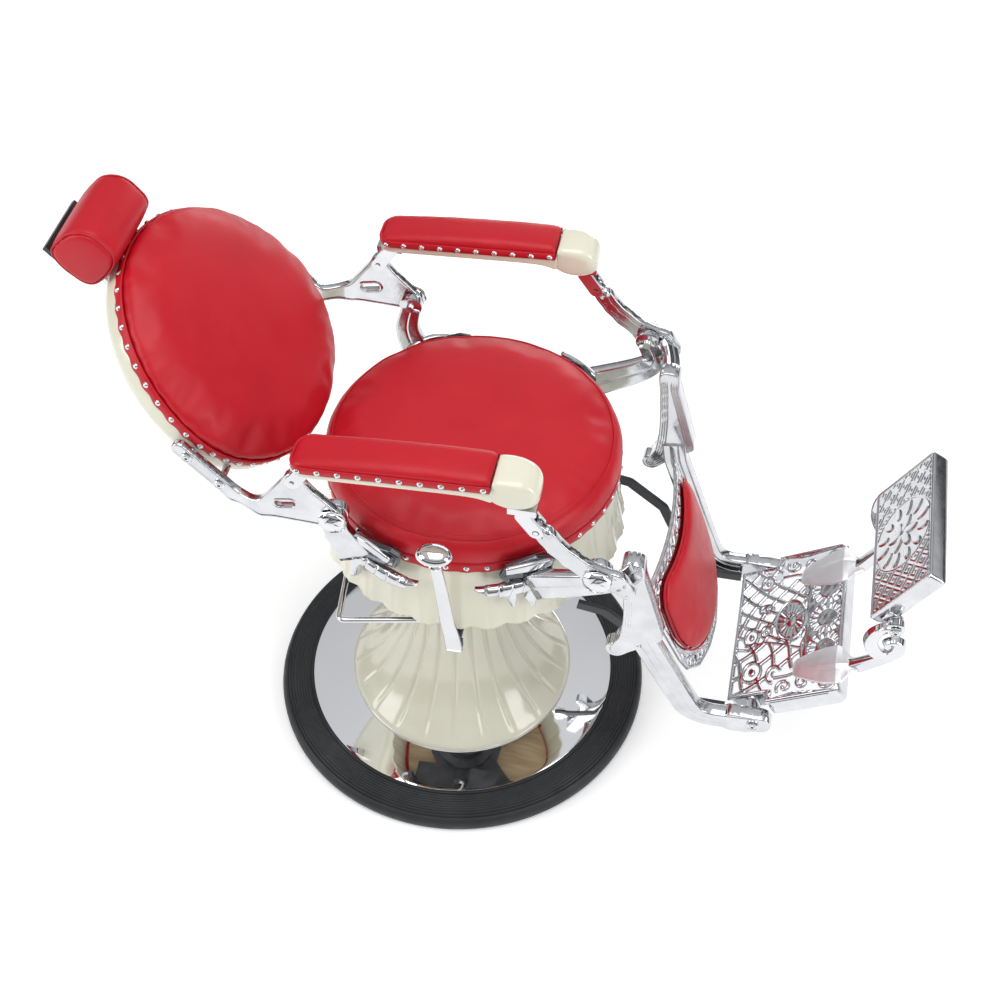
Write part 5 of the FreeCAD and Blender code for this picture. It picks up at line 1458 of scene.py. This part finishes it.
def make_seat_bracket(end, name, side):
    """The moulding on the skirt, and the arm that carries the pivot."""
    rear = end == "rear"
    x, z = REAR_PIVOT if rear else FRONT_PIVOT
    eye_y = REAR_EYE_Y if rear else FRONT_EYE_Y
    if rear:
        pan = [(50, 634), (53, 644), (62, 660), (73, 668), (77, 662), (75, 630), (66, 622), (52, 616)]
        leaf = [((61, 606), (70, 600), 13, 15), ((70, 600), (77, 598), 15, 11),
                ((77, 598), (82.5, 606), 8, 1)]
        lobe = [((54.5, 606), (56, 585), 15, 10), ((56, 585), (54.7, 552), 10, 8),
                ((54.7, 552), (53.5, 542), 8, 3)]
        ribs = (62, 66.5, 71, 75.5)
    else:
        pan = [(111, 634), (113, 656), (124, 664), (131, 650), (130, 618), (124, 608), (113, 618)]
        leaf = [((121, 602), (113, 600), 14, 14), ((113, 600), (107, 602), 12, 9),
                ((107, 602), (102.5, 607), 7, 1)]
        lobe = [((125, 600), (122, 572), 14, 11), ((122, 572), (122.8, 550), 11, 5),
                ((115, 590), (115.6, 562), 11, 5)]
        ribs = (106, 110.5, 115, 119)

    def runs(x_in, y_in, which):
        total = np.full(x_in.shape, -1e9)
        for start, stop, a, b in which:
            total = np.maximum(total, run_depth(x_in * DEGREE, y_in, (start[0] * DEGREE, start[1]),
                                                (stop[0] * DEGREE, stop[1]), a, b))
        return total

    shape = [(a * DEGREE, b) for a, b in pan]

    def pan_depth(s, v):
        return outline_depth(s, v, shape)

    def pan_face(s, v, d):
        hollow = np.clip((d - 4) / 5, 0, 1)
        dots = np.clip(np.cos(s / 2.6) * np.cos(v / 2.6) * 2, 0, 1)
        return 3 + 6 * round_over(d, 6) - 5 * hollow + 1.8 * hollow * dots * (v > 632)

    def leaf_depth(s, v):
        return np.maximum(runs(s / DEGREE, v, leaf), runs(s / DEGREE, v, lobe))

    def leaf_face(s, v, d):
        cuts = sum(np.exp(-((s - rib * DEGREE - 0.28 * (v - 600)) / 1.6) ** 2) for rib in ribs)
        return 4 + 9 * round_over(d, 11) - 2.4 * cuts * np.clip(d / 3, 0, 1)

    ends = [a for a, _ in pan] + [p[0][0] for p in leaf + lobe] + [p[1][0] for p in leaf + lobe]
    low = ((min(ends) - 4) * DEGREE, 530)
    high = ((max(ends) + 4) * DEGREE, 676)
    skirt_radius = 258 if rear else 257

    def on_wall(p):
        return on_skirt(skirt_radius, side)((p[0] / DEGREE, p[1], p[2]))

    def inner_face(s, v, d):
        return s * 0 - 1.5

    # The pan gets the near-black chrome: painted shade and painted dark reflection in its hollow.
    dark = relief_sheet(f"{end}_pan_{name}", pan_depth, low, high, 1.3, pan_face, inner_face, on_wall)
    dress(dark, MATERIALS["smoked"], "seat", "chrome")
    moulding = relief_sheet(f"{end}_moulding_{name}", leaf_depth, low, high, 1.3, leaf_face, inner_face,
                            on_wall)
    cornice = []
    span = (52, 73) if rear else (113, 129)
    for k in range(15):
        angle = span[0] + (span[1] - span[0]) * k / 14
        height = 647 + (12 if rear else 6) * math.sin(math.pi * (k / 14 if rear else 0.5 + 0.5 * k / 14))
        cornice.append(on_skirt(266, side)((angle, height, 0)))
    lip = swept(f"{end}_cornice_{name}", cornice, rounded_bar(9, 5, 4, 3), (0, 0, 1),
                lambda t: (0.8 + 0.2 * math.sin(math.pi * t), 1))
    start = (58, 612) if rear else (122, 606)
    root = on_skirt(262, side)((start[0], start[1], 4))
    middle = Vector((x + (-6 if rear else 8), side * (eye_y - (8 if rear else 14)), (root.z + z) / 2 + 6))
    arm_path = smooth_curve([root, middle, (x, side * eye_y, z - 4)], 8)
    arm = swept(f"{end}_arm_{name}", arm_path, band_section(16, 32, 2, 1.2), (0, side, 0),
                lambda t: (1.25 - 0.4 * t, 1.05 + 0.85 * (1 - t) ** 1.6))
    rim = [(18, -6.7), (19.7, -5.5), (20, -4), (20, 4), (19.7, 5.5), (18, 6.7)]
    eye = round_piece(f"{end}_eye_{name}", rim, (x, side * eye_y, z), (0, 1, 0), 56)
    whole = joined(f"{end}_seat_bracket_{name}", [moulding, lip, arm, eye])
    dress(whole, MATERIALS["cast_chrome"], "seat", "chrome", f"{end}_bracket_{name}")


def make_pivots():
    pieces = []
    for side in SIDES.values():
        for (x, z), eye_y in ((REAR_PIVOT, REAR_EYE_Y), (FRONT_PIVOT, FRONT_EYE_Y)):
            outer = eye_y + LINK_THICK * 1.5 + 1
            pieces.append(gem_cap("cap", (x, side * outer, z), side))
            pieces.append(round_piece("shank", [(6.9, 0), (6.9, LINK_THICK * 2 + 12)],
                                      (x, side * (eye_y - LINK_THICK / 2 - 8), z), (0, side, 0), 32))
    dress(joined("gem_caps", pieces), MATERIALS["chrome"], "seat", "chrome", "pivot_bolts")


def make_screws():
    """Ringed screw heads on the back straps, the foot hinge and the foot board."""
    foot_x, _, foot_z = FOOT_HINGE
    board_x, _, board_z = BOARD_HINGE
    straps, hinges, bolts = [], [], []
    for side in SIDES.values():
        strap_y = REAR_EYE_Y + LINK_THICK * 1.5 + 0.5
        for x, z, reach in ((-350, 804, 23), (-306, 753, 43)):
            head_y = strap_y - strap_shift(x) - 1.5
            straps.append(((x, side * head_y, z), side, strap_y - reach - LINK_THICK))
        hinges.append(((foot_x, side * 183, foot_z), side, 134))
        bolts.append(((board_x, side * 156.5, board_z), side, 128))
    for node_name, body, spots, radius, height in (
            ("strap_screws", "back", straps, 9, 4.5), ("foot_hinge_screws", "foot_plate", hinges, 10.5, 5),
            ("board_hinge_bolts", "foot_board", bolts, 9.5, 5)):
        heads, sockets = [], []
        for centre, side, inner in spots:
            head, socket = screw_head("head", centre, (0, side, 0), radius, height)
            shank = round_piece("shank", [(6, 0), (6, abs(centre[1]) - inner)],
                                (centre[0], side * inner, centre[2]), (0, side, 0), 32)
            heads += [head, shank]
            sockets.append(socket)
        dress(joined(node_name + "_heads", heads), MATERIALS["chrome"], body, "chrome", node_name)
        # The flat socket hexagons are dressed black: painted shade of the socket hollows.
        dress(joined(node_name + "_sockets", sockets), MATERIALS["black_steel"], body, "chrome")


def make_lever():
    path = smooth_curve([(61, -279, 474), (59, -286, 520), (56, -294, 567), (54, -310, 662),
                         (51.4, -325, 744)], 6)
    section = rounded_bar(13, 4, 3.2, 4)
    bar = swept("lever_flat", path, section, (1, 0, 0), lambda t: (1.06 - 0.42 * t ** 1.3, 1))
    axis = (Vector(path[-1]) - Vector(path[-4])).normalized()
    rings = [(8, -10), (10, -8), (10.5, -4), (8.5, -2), (8.5, 3), (11, 5), (11, 8), (8, 10)]
    collar = round_piece("lever_collar", rings, (51.2, -327, 752), axis, 40)
    dress(joined("lever_blade", [bar, collar]), MATERIALS["chrome"], "lever", "chrome", "lever_bar")
    profile = [(0.1, 758), (9, 758), (16, 760.5), (24, 763.5), (27.6, 767.5), (27.4, 770.5),
               (24.5, 775.5), (19, 779), (12, 781.2), (6, 782), (0.1, 782.2)]
    knob = turned("lever_mushroom", profile, 96, (51, -328), lambda angle, r, z, index: (
        r * KNOB_OVAL / math.hypot(KNOB_OVAL * math.cos(angle), math.sin(angle)), z), closed=False)
    dress(knob, MATERIALS["chrome"], "lever", "chrome", "lever_knob")


# ---------------------------------------------------------------- calf panel, foot plate and foot board

def make_calf_panel():
    edge = [(172, 0), (168, -40), (163, -75), (156, -150), (152, -190), (143, -228), (112, -261),
            (60, -278), (0, -285)]
    outline = edge + [(-x, y) for x, y in reversed(edge[:-1])]
    shield = PAD_SHIELD + [(-x, y) for x, y in PAD_SHIELD[-2:0:-1]]
    border = [(149, -25), (124, -236), (98, -247), (66, -256), (34, -264)]

    def depth(x, y):
        inside = outline_depth(x, y, outline)
        cover = outline_depth(x, y, shield)
        metal = np.minimum(inside, 7 - inside)
        metal = np.maximum(metal, cover + 7)
        far = np.abs(x)
        metal = np.maximum(metal, strands_depth(far, y, 21, 5.5, 38, 4))
        metal = np.maximum(metal, strands_depth(far, y, 24, 5.0, -47, 4))
        metal = np.maximum(metal, y + 20)
        for number, centre in enumerate(border):
            metal = np.maximum(metal, ring_depth(far, y, centre, (8.5, 11), 4.5))
            if number % 2:
                metal = np.maximum(metal, oval_depth(far, y, centre, (4.5, 6)))
        return np.minimum(metal, inside)

    def front(x, y, d):
        inside = outline_depth(x, y, outline)
        rim = np.clip(1 - np.abs(inside - 3.5) / 3.5, 0, 1)
        top_band = np.clip((y + 20) / 6, 0, 1) * (0.6 * np.cos(x / 3.2) * np.cos(y / 2.6))
        return 1.2 + 2.6 * round_over(d, 3) + 1.6 * np.sqrt(rim) + top_band

    def bent(p):
        return space @ Vector((p[0], p[1], p[2] + panel_height(p[0])))

    space = lean_frame(PANEL_TOP, PANEL_LEAN)
    panel = relief_sheet("calf_fretwork", depth, (-176, -289), (176, 4), 1.5, front,
                         lambda x, y, d: x * 0 - 0.6, bent)
    dress(panel, MATERIALS["cast_chrome"], "leg_frame", "chrome", "calf_panel")


def foot_space():
    """Local X runs forward and up the foot plate, local Z out of its upper face."""
    return Matrix.Translation(FOOT_HINGE) @ Matrix.Rotation(-math.radians(FOOT_TILT), 4, "Y")


def plate_inside(x, y):
    rear = np.minimum(np.minimum(x + 39, 60 - x), 142 - np.abs(y))
    front = np.minimum(np.minimum(x - 33, 168 - x), 163 - np.abs(y))
    corner = np.hypot(np.maximum(x - 150, 0), np.maximum(np.abs(y) - 145, 0))
    return np.minimum(np.maximum(rear, front), 18 - corner)


def plate_depth(x, y):
    inside = plate_inside(x, y)
    metal = 8 - inside
    bend = x + 5 * np.sin(y / 26)
    far = np.maximum(strands_depth(bend, y, 25, 8.4, 52, 3), strands_depth(bend, y, 27, 7.6, -34, 3))
    near = np.maximum(strands_depth(bend, y, 31, 8.6, 28, 6), strands_depth(bend, y, 35, 9.0, -58, 5))
    rear_part = np.where(y > -34, far, near)
    rear_part = np.maximum(rear_part, line_depth(x, y, [(-39, -34), (-10, -42), (20, -30), (45, -38),
                                                        (100, -60)], 6))
    for centre, sizes in (((-6, -14), (13, 18)), ((22, -8), (9, 12)), ((18, 44), (12, 9)),
                          ((2, -92), (17, 21)), ((44, -104), (13, 17)), ((16, 104), (12, 15))):
        rear_part = np.where(oval_depth(x, y, centre, sizes) > 0, -4, rear_part)
        rear_part = np.maximum(rear_part, ring_depth(x, y, centre, sizes, 6.8))
        rear_part = np.maximum(rear_part, oval_depth(x, y, centre, (sizes[0] * 0.42, sizes[1] * 0.42)))
    front_part = np.minimum(x - 96, 60.0)
    for middle in (-66, -2, 62):
        radius = np.hypot(x - 138, y - middle)
        angle = np.arctan2(y - middle, x - 138)
        tooth = (np.abs(((angle * 15 / (2 * math.pi)) % 1) - 0.5) * 2 * math.pi / 15 * radius) - 2.4
        slot = np.maximum(np.maximum(tooth, 20 - radius), radius - 31)
        front_part = np.minimum(front_part, slot)
    for side in (-1, 1):
        corner = y * side
        zone = np.minimum(corner - 100, x - 44)
        curls = np.maximum(line_depth(x, corner, scroll((140, 137), 21, -170, 1.3), 7.2),
                           line_depth(x, corner, scroll((100, 131), 17, 0, 1.2, -1), 6.8))
        curls = np.maximum(curls, line_depth(x, corner, scroll((66, 134), 15, 150, 1.1), 6.6))
        curls = np.maximum(curls, line_depth(x, corner, [(44, 112), (70, 112), (96, 106), (124, 108),
                                                         (160, 104)], 6))
        curls = np.maximum(curls, line_depth(x, corner, [(50, 156), (84, 150), (118, 154), (150, 158)],
                                             4.5))
        front_part = np.where(zone > 0, curls, front_part)
        rear_part = np.where(zone > 0, curls, rear_part)
    metal = np.maximum(metal, np.where(x > 92, front_part, rear_part))
    metal = np.maximum(metal, line_depth(x, y, [(96, -100), (92, -50), (100, -30), (100, 40), (92, 64),
                                                (98, 102)], 7))
    metal = np.maximum(metal, oval_depth(x, y, (69, 7), (31, 48)))
    for side in (-1, 1):
        metal = np.maximum(metal, run_depth(x, y * side, (104, 100), (160, 110), 18, 34))
    return np.minimum(metal, inside)


def plate_front(x, y, d):
    rise = PLATE_TOP - 3.4 + 3.2 * round_over(d, 3.2)
    within = oval_depth(x, y, (69, 7), (31, 48))
    angle = np.arctan2((y - 7) / 48, (x - 69) / 31)
    reach = np.hypot((y - 7) / 48, (x - 69) / 31)
    rays = 0.5 + 0.5 * np.cos(angle * 18 + reach * 3)
    medal = 1.4 * rays * np.clip((0.84 - reach) / 0.1, 0, 1) * np.clip((reach - 0.30) / 0.08, 0, 1)
    medal = medal + 2.0 * np.exp(-((reach - 0.92) / 0.05) ** 2)
    medal = medal + 2.2 * np.clip(1 - (reach / 0.30) ** 2, 0, 1)
    rise = rise + np.where(within > 0, medal, 0)
    inside = plate_inside(x, y)
    rise = rise + 1.3 * np.exp(-((inside - 4) / 1.8) ** 2)
    sheet = (x > 100) & (np.abs(y) < 100)
    return rise + np.where(sheet, 0.6 * np.cos(x / 4.5) * np.cos(y / 7), 0)


def plate_frame(space):
    """The skirt round the foot plate."""
    def loop(inset):
        rear, waist, front, narrow, wide = -39 + inset, 33 + inset, 168 - inset, 142 - inset, 163 - inset
        corners = [(rear, -narrow), (waist, -narrow), (waist, -wide), (front, -wide), (front, wide),
                   (waist, wide), (waist, narrow), (rear, narrow)]
        return rounded_profile(corners, 15, 5)

    def ring(inset, drop):
        made = []
        for x, y in loop(inset):
            rear_drop = min(drop, 12) if x < -30 + inset else drop
            made.append((x, y, PLATE_TOP - rear_drop))
        return made

    rings = [ring(inset, drop) for inset, drop in (
        (0, 36), (0, 3.5), (0.5, 1.6), (1.8, 0.3), (3.5, 0), (5.5, 0.3), (6, 1.5), (5, 5), (5, 36))]
    frame_piece = skin("plate_frame", rings, wrap_rows=True, transform=space)
    sharp_by_angle(frame_piece, 50)
    return frame_piece


def make_foot_plate():
    space = foot_space()
    fret = relief_sheet("foot_fretwork", plate_depth, (-42, -166), (171, 166), 1.3, plate_front,
                        lambda x, y, d: x * 0 + PLATE_TOP - 5.5, through(space))
    lugs = []
    for side in SIDES.values():
        lug = side_casting("hinge_lug", [((0, 0), (4, 18), 12, 11)], [], side * 139, side, 14, rim=40,
                           sink=0)
        turn = Matrix.Translation(FOOT_HINGE) @ Matrix.Rotation(-math.radians(FOOT_TILT), 4, "Y")
        turn.translation = turn.translation * MM
        lug.data.transform(turn)
        lugs.append(lug)
    whole = joined("foot_plate_casting", [fret, plate_frame(space)] + lugs)
    dress(whole, MATERIALS["cast_chrome"], "foot_plate", "chrome", "foot_plate")


def leaf_root(name, space, side):
    """The broad faceted leaf where a foot arm grows out of the plate."""
    top = PLATE_TOP
    stations = [(82, 88, 115, 1.0, 3.0), (88, 82, 122, 5.0, 7.0), (112, 74, 134, 7.0, 10.0),
                (140, 69, 146, 8.5, 13.0), (163, 69, 152, 10.0, 16.0), (171, 73, 148, 11.0, 18.0),
                (181, 88, 132, 12.0, 20.0), (194, 97, 122, 13.0, 22.0)]
    rings = []
    for x, low, high, shoulder, ridge in stations:
        shoulder, ridge = shoulder * 0.5, ridge * 0.5
        middle = (low + high) / 2 + 3
        back = max(0.0, x - 150) * 0.20
        drop = max(0.0, x - 166) * 0.55
        ring = [(low, -1), (low + 2, shoulder * 0.55), (middle - 7, ridge * 0.93), (middle, ridge),
                (middle + 8, shoulder), (high - 2, shoulder * 0.45), (high, -1), (middle, back - 3 - drop)]
        rings.append([(x, side * y, top - drop + z) for y, z in ring])
    leaf = skin(name, rings, transform=space)
    leaf.data.shade_flat()
    return soften_edges(leaf, 1.2, 2, 12)


def make_foot_arm(name, side):
    space = foot_space()
    path = smooth_curve([space @ Vector((160, side * 108, 20)), space @ Vector((184, side * 109, 19)),
                         (719, side * 114, 388), (736, side * 120, 412), (751, side * 126, 436),
                         (763, side * 131, 460), (762, side * 135, 483), (750, side * 138, 491),
                         (741, side * 139, 484), (744, side * 138, 475)], 7)
    section = rounded_bar(8, 11, 3.5, 4)
    arm = swept(f"foot_arm_sweep_{name}", path, section, (0, side, 0),
                lambda t: (1.15 - 0.35 * t, 1.1 - 0.25 * t if t < 0.6 else 0.95 - 1.3 * (t - 0.6)))
    neck_path = smooth_curve([
        (757, side * 128, 447), (743, side * 130, 441), (727, side * 133, 453), (716, side * 138, 479),
        (717, side * 143, 508), (728, side * 146, 529), (742, side * BOARD_EYE_Y, 537)], 7)
    upper = swept(f"foot_arm_curl_{name}", neck_path, section, (0, side, 0),
                  lambda t: (0.9, 0.5 + 0.55 * math.sin(math.pi * (0.15 + 0.6 * t))))
    board_x, _, board_z = BOARD_HINGE
    rim = [(10, -7), (13.5, -6.8), (15, -5.5), (15, 5.5), (13.5, 6.8), (10, 7)]
    eye = round_piece(f"foot_arm_eye_{name}", rim, (board_x, side * BOARD_EYE_Y, board_z), (0, 1, 0), 48)
    dress(leaf_root(f"foot_leaf_{name}", space, side), MATERIALS["satin"], "foot_plate", "chrome")
    whole = joined(f"foot_arm_{name}_casting", [arm, upper, eye])
    dress(whole, MATERIALS["chrome"], "foot_plate", "chrome", f"foot_arm_{name}")


def board_relief(x, y, d):
    """A frame, a six-petal flower in rings of petals, and short quilted strokes round them."""
    rise = 1.6 * np.exp(-((d - 3.2) / 1.5) ** 2) - 0.5 * np.exp(-((d - 7) / 1.2) ** 2)
    radius = np.hypot(x, y)
    bead = np.zeros(x.shape)
    for count, inner, outer, wide, turn in ((6, 2, 36, 8.5, 0.0), (12, 35, 65, 8.0, 0.5)):
        for k in range(count):
            angle = 2 * math.pi * (k + turn) / count + math.pi / 2
            along = x * math.cos(angle) + y * math.sin(angle)
            across = y * math.cos(angle) - x * math.sin(angle)
            middle, half = (inner + outer) / 2, (outer - inner) / 2
            petal = 1 - np.sqrt(((along - middle) / half) ** 2 + (across / wide) ** 2)
            bead = np.maximum(bead, 2.0 * round_over(petal, 0.75) * (petal > 0))
    inner_ring = np.exp(-((radius - 67) / 1.2) ** 2)
    block = np.floor(x / 17) + np.floor(y / 17)
    angle = np.where(block % 2 == 0, 0.9, -0.7)
    stroke = np.cos((x * np.cos(angle) + y * np.sin(angle)) * 2 * math.pi / 7.5)
    quilt = 1.3 * np.clip(stroke, 0, 1)
    outside = np.clip((radius - 69) / 2, 0, 1)
    field = np.where(radius < 68, bead + 1.0 * inner_ring, 0) + outside * quilt
    return rise + field * np.clip((d - 8) / 1.5, 0, 1)


def make_board():
    space = board_space()
    half_w, half_l = BOARD_HALF
    outline = rounded_bar(half_w, half_l, 7, 4)

    def depth(x, y):
        return outline_depth(x, y, outline)

    face = relief_sheet("board_relief", depth, (-half_w - 3, -half_l - 3), (half_w + 3, half_l + 3), 1.15,
                        lambda x, y, d: -1.8 + 1.2 * round_over(d, 1.5) + board_relief(x, y, d),
                        lambda x, y, d: x * 0 - 4, through(space))
    rings = []
    for inset, level, low_pull in ((0.2, -1.6, 0), (0, -4, 0), (0, -14, 0), (0, -22, 5), (0.4, -27, 14),
                                   (1.5, -30, 24), (4, -30, 24), (4, -20, 6), (4, -5, 0)):
        ring = []
        for x, y in rounded_bar(half_w - inset, half_l - inset, 7, 4):
            lifted = y + low_pull * max(0.0, -y / half_l) ** 4
            ring.append((x, lifted, level))
        rings.append(ring)
    walls = skin("board_walls", rings, wrap_rows=True, transform=space)
    sharp_by_angle(walls, 50)
    board_x, _, board_z = BOARD_HINGE
    pieces = [face, walls]
    for side in SIDES.values():
        pieces.append(round_piece("board_boss", [(12, 0), (12.6, 1), (12.6, 4.6), (11, 6)],
                                  (board_x, side * 131, board_z), (0, side, 0), 48))
        low = space @ Vector((-side * 131, BOARD_LOW - half_l, -31))
        high = space @ Vector((-side * 131, BOARD_LOW - half_l, -12))
        path = [Vector((end.x, side * 133, end.z)) for end in (low, high)]
        pieces.append(swept("board_ear", path, rounded_bar(2.8, 11.5, 1.5, 2), (0, 1, 0)))
    whole = joined("board_casting", pieces)
    dress(whole, MATERIALS["cast_chrome"], "foot_board", "chrome", "board_tray")


# ---------------------------------------------------------------- assembly

CAD_LOOKS = {
    "chrome": "chrome",
    "black_steel": "black_steel",
    "black_rubber": "rubber",
    "ivory_enamel": "enamel",
    "red_vinyl": "vinyl",
    "plywood": "wood",
    "cast_iron": "iron",
    "machined_steel": "steel",
}


def dress_cad_nodes():
    slots = {part["node"]: part["material_slot"] for part in frame["record"]["subparts"]}
    for name, node in frame["nodes"].items():
        node.data.materials.clear()
        node.data.materials.append(MATERIALS[CAD_LOOKS[slots[name]]])


MATERIALS = make_materials()
make_camera()
make_studio()
dress_cad_nodes()
make_base()
make_skirt()
make_seat_cushion()
make_back()
make_headrest()
for side_name, side_way in SIDES.items():
    make_armrest(side_name, side_way)
make_calf_pad()
make_board_pad()
make_calf_panel()
make_foot_plate()
make_board()
make_pivots()
make_screws()
make_lever()
for side_name, side_way in SIDES.items():
    make_back_bracket(side_name, side_way)
    make_rocker(side_name, side_way)
    make_rail(side_name, side_way)
    make_foot_arm(side_name, side_way)
    for bracket_end in ("rear", "front"):
        make_seat_bracket(bracket_end, side_name, side_way)
